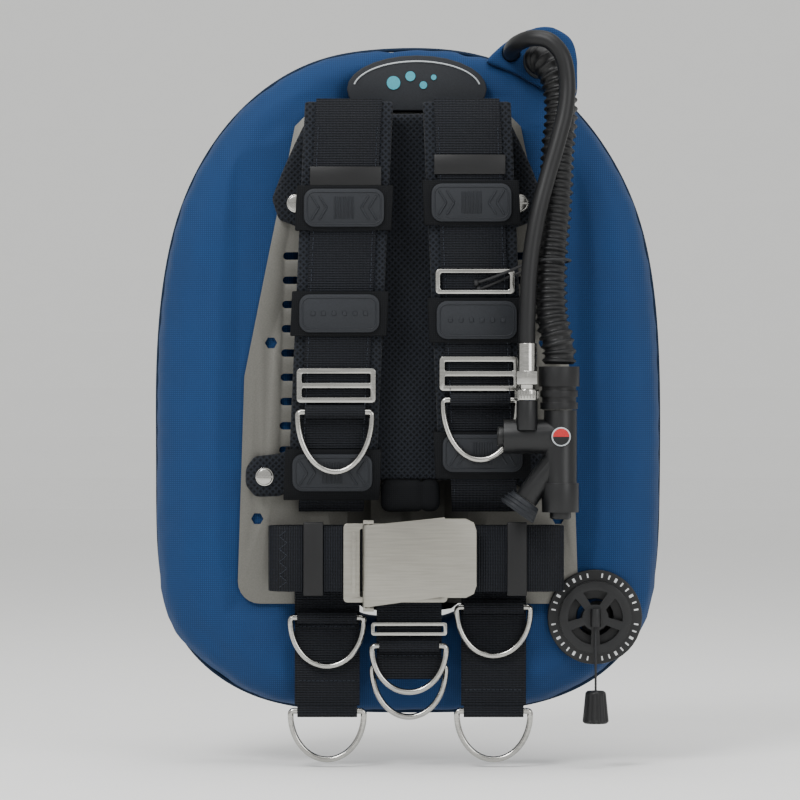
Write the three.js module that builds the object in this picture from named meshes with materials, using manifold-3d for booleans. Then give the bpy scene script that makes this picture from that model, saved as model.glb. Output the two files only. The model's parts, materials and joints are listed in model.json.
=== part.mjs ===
// Wing-type buoyancy compensator: backplate, donut wing, webbing harness, inflator and dump valve.
// Millimetres. +Z up, +X to the wearer's left (the viewer's right), the harness side faces -Y.
// The origin is the centre of the wing's rear face, where it meets the tank.
import * as THREE from 'three';
import { mergeVertices } from 'three/addons/utils/BufferGeometryUtils.js';
import Module from 'manifold-3d';

const wasm = await Module();
wasm.setup();

// ---- driving dimensions ----
const SEAT = 0.3;               // gap where two pieces rest on each other
const WEB_WIDTH = 50;           // harness webbing
const WEB_THICK = 2.5;
const WING_HALF_WIDTH = 190;
const WING_TOP = 235;
const WING_BOTTOM = 269;
const WING_FRONT = 24.5;        // depth of the lobes in front of the rear face
const RING_HALF_WIDTH = 74;     // hole of the donut, filled by the centre panel
const RING_TOP = 200;
const RING_BOTTOM = 200;
const PANEL_THICK = 3;
const PLATE_THICK = 3;
const PLATE_TOP = 190;
const PLATE_BOTTOM = 190;
const PLATE_TOP_HALF = 87;
const PLATE_MID_HALF = 126;     // at the waist, just under the middle
const PLATE_HALF = 131;         // at the bottom edge
const PLATE_CORNER = 17;
const CHANNEL_HALF = WEB_WIDTH / 2 + 5;         // flat floor of the central channel, wider than the webbing
const CHANNEL_DEPTH = 21.7;
const CHANNEL_SLOPE = 18;
const SLOT_PITCH = 18.7;
const SLOT_COUNT = 9;
const SLOT_WIDTH = 5.8;
const SLOT_LENGTH = 28;
const BOLT_SPACING = 279;       // tank bolts on the centre line
const BOLT_RADIUS = 5;
const PAD_THICK = 10;           // mesh back pad
const STRAP_PAD_WIDTH = WEB_WIDTH + 17;
const STRAP_PAD_THICK = 6;
const STRAP_X = 45;             // centre line of a shoulder strap at its top
const STRAP_LEAN = 0.045;       // how far it leans outwards on the way down
const BELT_TOP = -129;
const BELT_Z = BELT_TOP - WEB_WIDTH / 2;
const BELT_FRONT = 64;          // depth of the belt's front layer
const BELT_LEFT = 107;
const BELT_RIGHT = 120;
const WIRE = 2.3;               // radius of the D-ring wire
const RING_DROP = 38;           // bar to the middle of the bow
const RING_CLEAR = 1;           // beside the webbing, at each end of the bar
const RING_CORNER = 2.5;
const BORE_CLEAR = 0.35;        // around a bar in its webbing sleeve, or a pin in its bore
const DROP_X = WEB_WIDTH + 14;
const DROP_BOTTOM = -268;
const VALVE_X = 144;
const VALVE_Z = -200;
const VALVE_RADIUS = 36.5;
const VALVE_BARREL = 17;
const HOSE_RADIUS = 13;
const LP_RADIUS = 6.25;
const KEEPER_HEIGHT = 34;
const KEEPER_WALL = 2.4;
const KEEPER_CLEAR = 0.8;

// depths that follow from the stack of layers (all measured forwards, so y = -depth)
const plateChannel = PANEL_THICK + SEAT;
const plateSide = plateChannel + CHANNEL_DEPTH;
const plateFront = plateSide + PLATE_THICK;
const padBack = plateFront + SEAT;
const padFront = padBack + PAD_THICK;

const model = new THREE.Group();
model.name = 'buoyancy_compensator';

const BLUE = [0x24568a, 0.8, 0];
const BLACK_CLOTH = [0x17191d, 0.85, 0];
const WEBBING = [0x1a1d24, 0.7, 0];
const RUBBER = [0x26292e, 0.6, 0];
const PLASTIC = [0x141517, 0.45, 0];
const STEEL = [0xb8b6b0, 0.28, 1];
const SATIN = [0x77756f, 0.5, 0.9];

/** Adds one named mesh to the model. */
function piece(name, geometry, [color, roughness, metalness]) {
  const mesh = new THREE.Mesh(geometry, new THREE.MeshStandardMaterial({ color, roughness, metalness }));
  mesh.name = name;
  model.add(mesh);
  return mesh;
}

/** Turns a geometry into a solid that can be joined or cut. */
function solid(geometry) {
  const bare = geometry.clone();
  for (const key of ['normal', 'uv', 'color']) bare.deleteAttribute(key);
  const merged = mergeVertices(bare, 1e-4);
  const vertProperties = new Float32Array(merged.attributes.position.array);
  const triVerts = new Uint32Array(merged.index.array);
  return new wasm.Manifold(new wasm.Mesh({ numProp: 3, vertProperties, triVerts }));
}

/** Turns a solid back into a geometry. */
function surface(manifold) {
  const mesh = manifold.getMesh();
  const geometry = new THREE.BufferGeometry();
  geometry.setAttribute('position', new THREE.BufferAttribute(new Float32Array(mesh.vertProperties), 3));
  geometry.setIndex(new THREE.BufferAttribute(new Uint32Array(mesh.triVerts), 1));
  return geometry;
}

const join = (first, ...rest) => surface(rest.reduce((sum, next) => sum.add(solid(next)), solid(first)));
const cut = (first, ...rest) => surface(rest.reduce((sum, next) => sum.subtract(solid(next)), solid(first)));

/** Extrudes an X-Z outline forwards from a depth. */
function sheet(shape, depth, thick, curveSegments = 5) {
  const geometry = new THREE.ExtrudeGeometry(shape, { depth: thick, bevelEnabled: false, curveSegments });
  return geometry.rotateX(Math.PI / 2).translate(0, -depth, 0);
}

/** A rounded rectangle outline around a centre. */
function roundedBox(x, z, width, height, radius) {
  const shape = new THREE.Shape();
  const [right, top] = [width / 2 - radius, height / 2 - radius];
  shape.absarc(x + right, z + top, radius, 0, Math.PI / 2);
  shape.absarc(x - right, z + top, radius, Math.PI / 2, Math.PI);
  shape.absarc(x - right, z - top, radius, Math.PI, 1.5 * Math.PI);
  shape.absarc(x + right, z - top, radius, 1.5 * Math.PI, 2 * Math.PI);
  shape.closePath();
  return shape;
}

/** A round bar along Y, Z or X, centred on a point. */
function rod(radius, length, axis, x, y, z, sides = 16, endRadius = radius) {
  const geometry = new THREE.CylinderGeometry(endRadius, radius, length, sides);
  if (axis === 'x') geometry.rotateZ(-Math.PI / 2);
  if (axis === 'z') geometry.rotateX(Math.PI / 2);
  return geometry.translate(x, y, z);
}

/** A box given by its centre and sizes. */
function block(x, y, z, width, depth, height) {
  return new THREE.BoxGeometry(width, depth, height).translate(x, y, z);
}

/** A tube of round section along a list of points. */
function tube(points, radius, sides, steps) {
  const section = new THREE.Shape();
  for (let i = 0; i < sides; i += 1) {
    const angle = 2 * Math.PI * i / sides;
    const corner = [radius * Math.cos(angle), radius * Math.sin(angle)];
    if (i === 0) section.moveTo(...corner);
    else section.lineTo(...corner);
  }
  section.closePath();
  const extrudePath = new THREE.CatmullRomCurve3(points.map((point) => new THREE.Vector3(...point)));
  return new THREE.ExtrudeGeometry(section, { extrudePath, steps });
}

// ---- wing ----
const RING_STEPS = 56;
const SECTION_STEPS = 12;
const LOBE_HALF_THICK = 38;
const LOBE_REACH = 57;          // half width of a lobe at full thickness
const LOBE_REAR_SHIFT = -10;    // the outer seam lies behind the centre panel

// right half of the outline, bottom to top: shares of the half width and of the height from the origin
const OUTLINE = [
  [0, -1], [0.32, -0.995], [0.59, -0.965], [0.82, -0.865], [0.96, -0.75], [1, -0.55], [1, -0.3],
  [0.99, 0.05], [0.963, 0.285], [0.885, 0.53], [0.742, 0.73], [0.58, 0.862], [0.34, 0.965], [0, 1],
];

/** The wing's closed outline, anticlockwise from the bottom. */
function wingOutline() {
  const place = ([x, z]) => [x * WING_HALF_WIDTH, z * (z > 0 ? WING_TOP : WING_BOTTOM)];
  const right = OUTLINE.map(place);
  const left = right.slice(1, -1).reverse().map(([x, z]) => [-x, z]);
  const points = [...right, ...left].map(([x, z]) => new THREE.Vector3(x, z, 0));
  return new THREE.CatmullRomCurve3(points, true, 'centripetal').getPoints(RING_STEPS).slice(0, RING_STEPS);
}

const outline = wingOutline();

/** The edge of the donut's hole that faces one outline point. */
function holeEdge({ x, y }, inset = 0) {
  const height = (y > 0 ? RING_TOP : RING_BOTTOM);
  const angle = Math.atan2(y / height, x / RING_HALF_WIDTH);
  const squared = (value) => Math.sign(value) * Math.abs(value) ** 0.6;
  return [(RING_HALF_WIDTH - inset) * squared(Math.cos(angle)), (height - inset) * squared(Math.sin(angle))];
}

/** The inflated donut, pressed flat in front where it meets the plate. */
function airCell() {
  const geometry = new THREE.TorusGeometry(2, 1, SECTION_STEPS, RING_STEPS);
  const position = geometry.attributes.position;
  for (let j = 0; j <= SECTION_STEPS; j += 1) {
    const turn = 2 * Math.PI * (j % SECTION_STEPS) / SECTION_STEPS;
    const [across, lift] = [Math.cos(turn), Math.sin(turn)].map((v) => Math.sign(v) * Math.abs(v) ** 0.8);
    for (let i = 0; i <= RING_STEPS; i += 1) {
      const outer = outline[i % RING_STEPS];
      const [innerX, innerZ] = holeEdge(outer);
      const reach = Math.hypot(outer.x - innerX, outer.y - innerZ) / 2;
      const fullness = Math.min(1, reach / LOBE_REACH);
      const middle = (PANEL_THICK / 2) * (1 - across) / 2 + LOBE_REAR_SHIFT * fullness * (1 + across) / 2;
      const depth = Math.min(WING_FRONT, middle + LOBE_HALF_THICK * fullness * lift);
      const x = (outer.x + innerX) / 2 + across * (outer.x - innerX) / 2;
      const z = (outer.y + innerZ) / 2 + across * (outer.y - innerZ) / 2;
      position.setXYZ(j * (RING_STEPS + 1) + i, x, -depth, z);
    }
  }
  return geometry;
}

const VALVE_POCKET_DEPTH = 24;  // how far the valve's barrel reaches behind the wing's front
const valvePocket = rod(VALVE_BARREL + 0.4, 2 * VALVE_POCKET_DEPTH, 'y', VALVE_X, -WING_FRONT, VALVE_Z, 20);
piece('wing_air_cell', cut(airCell(), valvePocket), BLUE);

const panelShape = new THREE.Shape(outline.map((point) => new THREE.Vector2(...holeEdge(point, SEAT))));
const boltHoles = [1, -1].map((side) => rod(BOLT_RADIUS, 80, 'y', 0, 0, side * BOLT_SPACING / 2, 12));
piece('wing_center_panel', cut(sheet(panelShape, 0, PANEL_THICK), ...boltHoles), BLUE);

const HOOD_FRONT = 16;
const HOOD_REAR = 22;
const hoodFoot = outline.slice(Math.round(RING_STEPS * 0.41), Math.round(RING_STEPS * 0.41) + 4);
const anchor = hoodFoot[1];     // the middle of the hood's foot, which its crown and outlets follow
const LP_EXIT = [anchor.x - 24.4, anchor.y + 28.8];
const ELBOW = [anchor.x - 1.4, anchor.y + 22.3];
const HOOD_CROWN = [[-38, 29], [-24, 41], [-5, 49], [8, 49], [20, 42], [26, 31], [27, 15], [26, -4]];

/** The raised fabric hood at the shoulder, which the low-pressure hose passes through. */
function hoseHood() {
  const shape = new THREE.Shape();
  for (const [i, { x, y }] of hoodFoot.entries()) {
    const grow = 1 + 2 * SEAT / Math.hypot(x, y);
    if (i === 0) shape.moveTo(x * grow, y * grow);
    else shape.lineTo(x * grow, y * grow);
  }
  shape.splineThru(HOOD_CROWN.map(([x, z]) => new THREE.Vector2(anchor.x + x, anchor.y + z)));
  shape.closePath();
  return shape;
}
const lpTunnel = rod(LP_RADIUS + 0.6, 100, 'y', LP_EXIT[0], 0, LP_EXIT[1], 16);
piece('hose_hood', cut(sheet(hoseHood(), -HOOD_REAR, HOOD_FRONT + HOOD_REAR, 3), lpTunnel), BLUE);

const CREST_Z = WING_TOP - 28;
const CREST_DEPTH = 22;
const crestShape = new THREE.Shape().absellipse(7, CREST_Z, 54, 26, 0, 2 * Math.PI);
const belowPlateTop = block(0, -CREST_DEPTH, PLATE_TOP - 50 + SEAT, 200, 40, 100);
piece('crest_patch', cut(sheet(crestShape, CREST_DEPTH, PANEL_THICK, 14), belowPlateTop), RUBBER);

// ---- plate and pads ----
/** The bent section of the plate, as one bar along Z. */
function plateSection() {
  const slope = CHANNEL_HALF + CHANNEL_SLOPE;
  const turn = Math.atan2(CHANNEL_DEPTH, CHANNEL_SLOPE);
  const shift = PLATE_THICK * Math.tan(turn / 2);
  const edge = PLATE_HALF + 10;
  const right = [[CHANNEL_HALF, plateChannel], [slope, plateSide], [edge, plateSide], [edge, plateFront],
    [slope - shift, plateFront], [CHANNEL_HALF - shift, plateChannel + PLATE_THICK]];
  const left = right.map(([x, depth]) => [-x, depth]).reverse();
  const section = new THREE.Shape([...right, ...left].map(([x, depth]) => new THREE.Vector2(x, -depth)));
  const height = PLATE_TOP + PLATE_BOTTOM;
  const bar = new THREE.ExtrudeGeometry(section, { depth: height, bevelEnabled: false });
  return bar.translate(0, 0, -PLATE_BOTTOM);
}

/** The outline that the plate is cut to, with its lightening slots and holes. */
function plateOutline() {
  const half = [[PLATE_HALF, -PLATE_BOTTOM + PLATE_CORNER], [PLATE_MID_HALF, -15], [107, 80],
    [PLATE_TOP_HALF, PLATE_TOP - 12], [PLATE_TOP_HALF - 12, PLATE_TOP]];
  const shape = new THREE.Shape();
  const [cornerX, cornerZ] = [PLATE_HALF - PLATE_CORNER, -PLATE_BOTTOM + PLATE_CORNER];
  shape.absarc(cornerX, cornerZ, PLATE_CORNER, -Math.PI / 2, 0);
  for (const [x, z] of half.slice(1)) shape.lineTo(x, z);
  for (const [x, z] of half.slice(1).reverse()) shape.lineTo(-x, z);
  shape.absarc(-cornerX, cornerZ, PLATE_CORNER, Math.PI, 1.5 * Math.PI);
  shape.closePath();
  for (const side of [-1, 1]) {
    for (let i = 0; i < SLOT_COUNT; i += 1) {
      const x = side * (PLATE_MID_HALF - 44 + i * 0.4);
      shape.holes.push(roundedBox(x, 78 - i * SLOT_PITCH, SLOT_LENGTH, SLOT_WIDTH, SLOT_WIDTH / 2 - 0.1));
    }
    shape.holes.push(new THREE.Path().absarc(side * 105.4, 11, 4.75, 0, 2 * Math.PI));
    shape.holes.push(new THREE.Path().absarc(side * 116, -124.5, 4.75, 0, 2 * Math.PI));
  }
  return shape;
}

const plateBlank = solid(plateSection()).intersect(solid(sheet(plateOutline(), 0, 60, 3)));
const plate = boltHoles.reduce((sum, hole) => sum.subtract(solid(hole)), plateBlank);
piece('backplate', surface(plate), SATIN);

const SCREWS = { pad_screw_1: [-86, 118], pad_screw_2: [86, 118], pad_screw_3: [-110, -92],
  pad_screw_4: [110, -92] };
const SCREW_HEAD = 7;
const SCREW_SHANK = 2.5;

const BACK_PAD_FOOT = -94;
const LUMBAR_HEIGHT = 24;

/** Outline of the mesh pad, with its upper and lower ears. */
function backPadOutline() {
  const half = [[70, 187], [80, 178], [97, 140], [104, 122], [99, 106], [78, 98], [70, 80], [70, -62],
    [98, -74],
    [118, -77], [124, -86], [124, -98], [117, -107], [98, -107], [78, BACK_PAD_FOOT]];
  const right = half.map(([x, z]) => new THREE.Vector2(x, z));
  const left = half.map(([x, z]) => new THREE.Vector2(-x, z)).reverse();
  return new THREE.Shape([...right, ...left]);
}

const screwHoles = Object.values(SCREWS).map(([x, z]) => rod(SCREW_SHANK + 0.4, 80, 'y', x, -40, z, 10));
piece('back_pad', cut(sheet(backPadOutline(), padBack, PAD_THICK), ...screwHoles), BLACK_CLOTH);
for (const [name, [x, z]] of Object.entries(SCREWS)) {
  const head = rod(SCREW_HEAD, 3, 'y', x, -padFront - SEAT - 1.5, z, 20);
  const shank = rod(SCREW_SHANK, PAD_THICK + 1, 'y', x, -padFront + (PAD_THICK - 1) / 2, z, 10);
  const slot = block(x, -padFront - SEAT - 3, z, 2 * SCREW_HEAD + 2, 2, 1.6);
  piece(name, cut(join(head, shank), slot), STEEL);
}
const lumbarShape = roundedBox(2, BACK_PAD_FOOT - SEAT - LUMBAR_HEIGHT / 2, 44, LUMBAR_HEIGHT, 5);
piece('lumbar_pad', sheet(lumbarShape, padBack, 14, 3), BLACK_CLOTH);

// ---- shoulder straps ----
const webInner = STRAP_PAD_THICK + SEAT;
const webOuter = webInner + WEB_THICK;
const strapBack = padFront + webOuter + 2 * SEAT;

// side view of a strap's inner face, from the top of the pad over the shoulder to the waist: [depth, z]
const STRAP_SIDE = [[strapBack, 165], [strapBack + 0.4, 183], [strapBack + 3.3, 191], [strapBack + 8.3, 193],
  [strapBack + 12.3, 187], [strapBack + 13.8, 172], [strapBack + 14.3, 120], [strapBack + 13.3, 60],
  [strapBack + 11.3, 0], [strapBack + 8.3, -50], [strapBack + 3.3, -84], [44, -103], [33, -112]];
const strapSide = new THREE.CatmullRomCurve3(STRAP_SIDE.map(([depth, z]) => new THREE.Vector3(-depth, z, 0)));

/** A point of the strap's side view, pushed outwards (up and forwards) by an offset. */
function strapPoint(share, offset) {
  const point = strapSide.getPointAt(share);
  const tangent = strapSide.getTangentAt(share);
  return [point.x + tangent.y * offset, point.y - tangent.x * offset];
}

/** The share of the strap's length at which its front run passes a height. */
function shareAt(z) {
  let [low, high] = [0.25, 1];
  for (let i = 0; i < 30; i += 1) {
    const middle = (low + high) / 2;
    if (strapSide.getPointAt(middle).y > z) low = middle;
    else high = middle;
  }
  return low;
}

const strapX = (side, z) => side * (STRAP_X + STRAP_LEAN * (PLATE_TOP - z));

/** A layer that follows the strap, between two shares of its length and two offsets. */
function strapLayer(side, from, to, inner, outer, width, steps) {
  const shares = Array.from({ length: steps + 1 }, (_, i) => from + (to - from) * i / steps);
  const ends = [...shares.map((s) => strapPoint(s, outer)),
    ...shares.reverse().map((s) => strapPoint(s, inner))];
  const shape = new THREE.Shape(ends.map(([y, z]) => new THREE.Vector2(y, z)));
  const geometry = new THREE.ExtrudeGeometry(shape, { depth: width, bevelEnabled: false });
  geometry.translate(0, 0, -width / 2);
  const turned = new THREE.Matrix4().makeBasis(new THREE.Vector3(0, 1, 0), new THREE.Vector3(0, 0, 1),
    new THREE.Vector3(1, 0, 0));
  geometry.applyMatrix4(turned);
  const position = geometry.attributes.position;
  for (let i = 0; i < position.count; i += 1) {
    position.setX(i, position.getX(i) + strapX(side, position.getZ(i)));
  }
  return geometry;
}


/** A keeper that wraps the pad and the webbing, centred on a height. */
function keeper(side, z) {
  const [from, to] = [shareAt(z + KEEPER_HEIGHT / 2), shareAt(z - KEEPER_HEIGHT / 2)];
  const [low, high] = [-KEEPER_CLEAR, webOuter + KEEPER_CLEAR];
  const inside = STRAP_PAD_WIDTH + 2 * KEEPER_CLEAR;
  const around = inside + 2 * KEEPER_WALL;
  const shell = strapLayer(side, from, to, low - KEEPER_WALL, high + KEEPER_WALL, around, 4);
  const room = strapLayer(side, from - 0.02, to + 0.02, low, high, inside, 12);
  return cut(shell, room);
}

/** The centre line of a D-ring: a straight bar on top and a round bow below it. */
function ringCurve(halfBar, drop) {
  const path = new THREE.Path();
  path.moveTo(-halfBar, 0);
  path.lineTo(halfBar, 0);
  path.absarc(halfBar, -RING_CORNER, RING_CORNER, Math.PI / 2, 0, true);
  path.absellipse(0, -RING_CORNER, halfBar + RING_CORNER, drop - RING_CORNER, 0, Math.PI, true);
  path.absarc(-halfBar, -RING_CORNER, RING_CORNER, Math.PI, Math.PI / 2, true);
  const points = path.getSpacedPoints(RING_STEPS_D).slice(0, RING_STEPS_D);
  return new THREE.CatmullRomCurve3(points.map(({ x, y }) => new THREE.Vector3(x, 0, y)), true);
}

const RING_STEPS_D = 28;
const ringHalfBar = WEB_WIDTH / 2 + RING_CLEAR;

/** A D-ring whose bar lies along X at a point. */
function dRing(x, depth, z, drop = RING_DROP, halfBar = ringHalfBar) {
  const wire = new THREE.TubeGeometry(ringCurve(halfBar, drop), RING_STEPS_D, WIRE, 6, true);
  return wire.translate(x, -depth, z);
}

/** Webbing wrapped round a D-ring's bar, as a short tube along X. */
function barSleeve(x, depth, z, width = WEB_WIDTH - 4) {
  const ring = new THREE.Shape().absarc(0, 0, WIRE + BORE_CLEAR + WEB_THICK, 0, 2 * Math.PI);
  ring.holes.push(new THREE.Path().absarc(0, 0, WIRE + BORE_CLEAR, 0, 2 * Math.PI));
  const geometry = new THREE.ExtrudeGeometry(ring, { depth: width, bevelEnabled: false, curveSegments: 6 });
  return geometry.rotateY(Math.PI / 2).translate(x - width / 2, -depth, z);
}

/** How far in front of a layer's face a bar's centre lies when its sleeve is sewn to that layer. */
const sleeveStand = WIRE + BORE_CLEAR + WEB_THICK - 0.6;

const KEEPERS = { left: [113, 33, -86], right: [117, 28, -73] };
const TRIGLIDES = { left: -22, right: -13 };
const TRIGLIDE_HEIGHT = 26;
const TRIGLIDE_BAR = 3.8;
const TRIGLIDE_THICK = 2.4;

/** A tri-glide: a plate with two windows, lying on the webbing. */
function triGlide(x, depth, z) {
  const width = WEB_WIDTH + 2 * (TRIGLIDE_BAR + 1.2);
  const shape = roundedBox(x, z, width, TRIGLIDE_HEIGHT, 3);
  const windowHeight = (TRIGLIDE_HEIGHT - 3 * TRIGLIDE_BAR) / 2;
  for (const side of [-1, 1]) {
    const centre = z + side * (windowHeight + TRIGLIDE_BAR) / 2;
    shape.holes.push(roundedBox(x, centre, WEB_WIDTH + 2.4, windowHeight, 1.2));
  }
  return sheet(shape, depth, TRIGLIDE_THICK, 2);
}

const shoulderRing = {};
for (const [name, side] of [['left', -1], ['right', 1]]) {
  const pad = strapLayer(side, 0, 0.9, 0, STRAP_PAD_THICK, STRAP_PAD_WIDTH, 27);
  piece(`shoulder_pad_${name}`, pad, BLACK_CLOTH);
  const glideZ = TRIGLIDES[name];
  const share = shareAt(glideZ - TRIGLIDE_HEIGHT / 2 - 6);
  const [sleeveY, sleeveZ] = strapPoint(share, webOuter + sleeveStand);
  shoulderRing[name] = [strapX(side, sleeveZ), -sleeveY, sleeveZ];
  const webbing = strapLayer(side, 0, 1, webInner, webOuter, WEB_WIDTH, 30);
  piece(`shoulder_webbing_${name}`, join(webbing, barSleeve(...shoulderRing[name])), WEBBING);
  KEEPERS[name].forEach((z, i) => piece(`keeper_${name}_${i + 1}`, keeper(side, z), RUBBER));
  piece(`shoulder_ring_${name}`, dRing(...shoulderRing[name], 46), STEEL);
  const glideDepth = Math.max(...[-1, 1].map((end) => -strapPoint(shareAt(glideZ
    + end * TRIGLIDE_HEIGHT / 2), webOuter)[0]));
  piece(`triglide_${name}`, triGlide(strapX(side, glideZ), glideDepth + SEAT + 0.4, glideZ), STEEL);
}

// ---- waist belt and cam buckle ----
const BELT_FOLD = (BELT_FRONT - padBack - WEB_THICK) / 2;

/** One side of the belt seen from above: out along the plate, folded forwards, and back to the buckle. */
function beltRun(side, reach, innerBack, innerFront) {
  const back = padBack + WEB_THICK / 2;
  const front = BELT_FRONT + WEB_THICK / 2;
  const radius = (front - back) / 2;
  const path = new THREE.Path();
  path.moveTo(innerBack, -back);
  path.lineTo(reach - radius - 1.5, -back);
  path.absarc(reach - radius - 1.5, -(back + radius), radius, Math.PI / 2, -Math.PI / 2, true);
  path.lineTo(innerFront, -front);
  const points = path.getSpacedPoints(26);
  const edge = (offset) => points.map((point, i) => {
    const [before, after] = [points[Math.max(0, i - 1)], points[Math.min(points.length - 1, i + 1)]];
    const length = Math.hypot(after.x - before.x, after.y - before.y);
    const [nx, ny] = [-(after.y - before.y) / length, (after.x - before.x) / length];
    return new THREE.Vector2(side * (point.x + nx * offset), point.y + ny * offset);
  });
  const shape = new THREE.Shape([...edge(WEB_THICK / 2), ...edge(-WEB_THICK / 2).reverse()]);
  const geometry = new THREE.ExtrudeGeometry(shape, { depth: WEB_WIDTH, bevelEnabled: false });
  return geometry.translate(0, 0, BELT_Z - WEB_WIDTH / 2);
}

const BUCKLE_LEFT = -49;
const BUCKLE_RIGHT = 30;
const BUCKLE_HEIGHT = WEB_WIDTH + 10;
const BUCKLE_Z = BELT_Z - 3;
const BUCKLE_THICK = 2;
const LEVER_PIN_X = -30;
const LEVER_PIN = 2;
const LEVER_ROLL = 4.4;
const LEVER_THICK = 2.4;
const BELT_KEEPERS = { belt_keeper_left: -72, belt_keeper_right: 83 };
const BELT_KEEPER_WIDTH = 15;
const BAND_WALL = 2;
piece('waist_belt_left', beltRun(-1, BELT_LEFT, 54, -BUCKLE_RIGHT + 6), WEBBING);
piece('waist_belt_right', beltRun(1, BELT_RIGHT, 54, BUCKLE_RIGHT + 4), WEBBING);
for (const [name, x] of Object.entries(BELT_KEEPERS)) {
  const height = WEB_WIDTH + 2 * KEEPER_CLEAR;
  const inside = WEB_THICK + 2 * KEEPER_CLEAR;
  const y = -BELT_FRONT - WEB_THICK / 2;
  const outer = block(x, y, BELT_Z, BELT_KEEPER_WIDTH, inside + 2 * BAND_WALL, height + 2 * BAND_WALL + 0.4);
  const inner = block(x, y, BELT_Z, 2 * BELT_KEEPER_WIDTH, inside, height);
  piece(name, cut(outer, inner), RUBBER);
}

const buckleDepth = BELT_FRONT + WEB_THICK + SEAT;
const pinDepth = buckleDepth + BUCKLE_THICK + LEVER_ROLL + 0.6;
const leverTop = BUCKLE_Z + WEB_WIDTH / 2 + 4;
const leverBottom = BUCKLE_Z - WEB_WIDTH / 2 - 8;

/** The buckle's frame: two webbing windows, a raised rib, two ears and the lever's pin. */
function buckleBase() {
  const middle = (BUCKLE_LEFT + BUCKLE_RIGHT) / 2;
  const shape = roundedBox(middle, BUCKLE_Z, BUCKLE_RIGHT - BUCKLE_LEFT, BUCKLE_HEIGHT, 3);
  for (const x of [BUCKLE_LEFT + 15, BUCKLE_RIGHT - 8]) {
    shape.holes.push(roundedBox(x, BUCKLE_Z, 5, WEB_WIDTH + 2, 1.5));
  }
  const plateMesh = sheet(shape, buckleDepth, BUCKLE_THICK, 2);
  const rib = block(BUCKLE_LEFT + 8, -buckleDepth - BUCKLE_THICK - 0.4, BUCKLE_Z, 3, 2.4, 46);
  const ears = [leverTop + 2.3, leverBottom - 2.3].map((z) => block(LEVER_PIN_X,
    -(buckleDepth + pinDepth + LEVER_PIN + 1.4) / 2, z, 8, pinDepth + LEVER_PIN + 1.4 - buckleDepth, 2.6));
  const bridge = block(LEVER_PIN_X, -buckleDepth - BUCKLE_THICK / 2, (leverTop + leverBottom) / 2, 8,
    BUCKLE_THICK, leverTop - leverBottom + 7);
  const pin = rod(LEVER_PIN, leverTop - leverBottom + 4, 'z', LEVER_PIN_X, -pinDepth,
    (leverTop + leverBottom) / 2, 12);
  return join(plateMesh, rib, bridge, ...ears, pin);
}

/** The cam lever: a slanted plate with a thumb tab, rolled round the pin. */
function buckleLever() {
  const corners = [[LEVER_PIN_X, leverBottom], [28, leverBottom + 8], [28, leverBottom + 7],
    [44, leverBottom + 7], [50, leverBottom + 10], [52, leverBottom + 16], [52, leverTop - 4],
    [50, leverTop + 2], [44, leverTop + 5], [28, leverTop + 5], [28, leverTop + 6], [LEVER_PIN_X, leverTop]];
  const shape = new THREE.Shape(corners.map(([x, z]) => new THREE.Vector2(x, z)));
  const face = pinDepth + LEVER_ROLL - LEVER_THICK;
  const length = leverTop - leverBottom;
  const middle = (leverTop + leverBottom) / 2;
  const roll = rod(LEVER_ROLL, length, 'z', LEVER_PIN_X, -pinDepth, middle, 16);
  const bore = rod(LEVER_PIN + BORE_CLEAR, length + 20, 'z', LEVER_PIN_X, -pinDepth, middle, 12);
  return cut(join(sheet(shape, face, LEVER_THICK), roll), bore);
}
piece('buckle_base', buckleBase(), SATIN);
piece('buckle_lever', buckleLever(), SATIN);

// ---- drop straps and crotch strap ----
const dropDepth = padBack + WEB_THICK + SEAT;
const dropRings = {};
for (const [name, side] of [['left', -1], ['right', 1]]) {
  const x = side * DROP_X + 2;
  const top = BELT_Z + WEB_WIDTH / 2;
  const web = block(x, -dropDepth - WEB_THICK / 2, (top + DROP_BOTTOM) / 2, WEB_WIDTH, WEB_THICK,
    top - DROP_BOTTOM);
  const sleeveDepth = dropDepth + WEB_THICK + sleeveStand;
  dropRings[`drop_ring_${name}_upper`] = [x, sleeveDepth, side < 0 ? -200 : -192];
  dropRings[`drop_ring_${name}_lower`] = [x, dropDepth + WEB_THICK / 2, DROP_BOTTOM - 4];
  const sleeves = [...Object.entries(dropRings)].filter(([key]) => key.includes(name))
    .map(([, place]) => barSleeve(...place));
  piece(`drop_strap_${name}`, join(web, ...sleeves), WEBBING);
}
for (const [name, place] of Object.entries(dropRings)) piece(name, dRing(...place), STEEL);

const CROTCH_X = 1;
const CROTCH_BOTTOM = -247;
const crotchDepth = dropDepth + WEB_THICK + 8;
const crotchTop = BELT_Z;
const crotchRings = { crotch_ring_front: [CROTCH_X, crotchDepth + WEB_THICK + sleeveStand, -221],
  crotch_ring_rear: [CROTCH_X, crotchDepth - sleeveStand, -237] };
const crotchWeb = block(CROTCH_X, -crotchDepth - WEB_THICK / 2, (crotchTop + CROTCH_BOTTOM) / 2, WEB_WIDTH,
  WEB_THICK, crotchTop - CROTCH_BOTTOM);
const channelFloor = plateChannel + PLATE_THICK + SEAT;
const crotchTail = block(CROTCH_X, -(channelFloor + crotchDepth + WEB_THICK) / 2, crotchTop - WEB_THICK / 2,
  WEB_WIDTH, crotchDepth + WEB_THICK - channelFloor, WEB_THICK);
const crotchSleeves = Object.values(crotchRings).map((place) => barSleeve(...place));
piece('crotch_strap', join(crotchWeb, crotchTail, ...crotchSleeves), WEBBING);
for (const [name, place] of Object.entries(crotchRings)) {
  piece(name, dRing(...place, name.endsWith('front') ? 36 : 40), STEEL);
}
const SLIDER_Z = -208.5;
const sliderShape = roundedBox(CROTCH_X, SLIDER_Z, WEB_WIDTH + 8, 10, 2);
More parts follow.
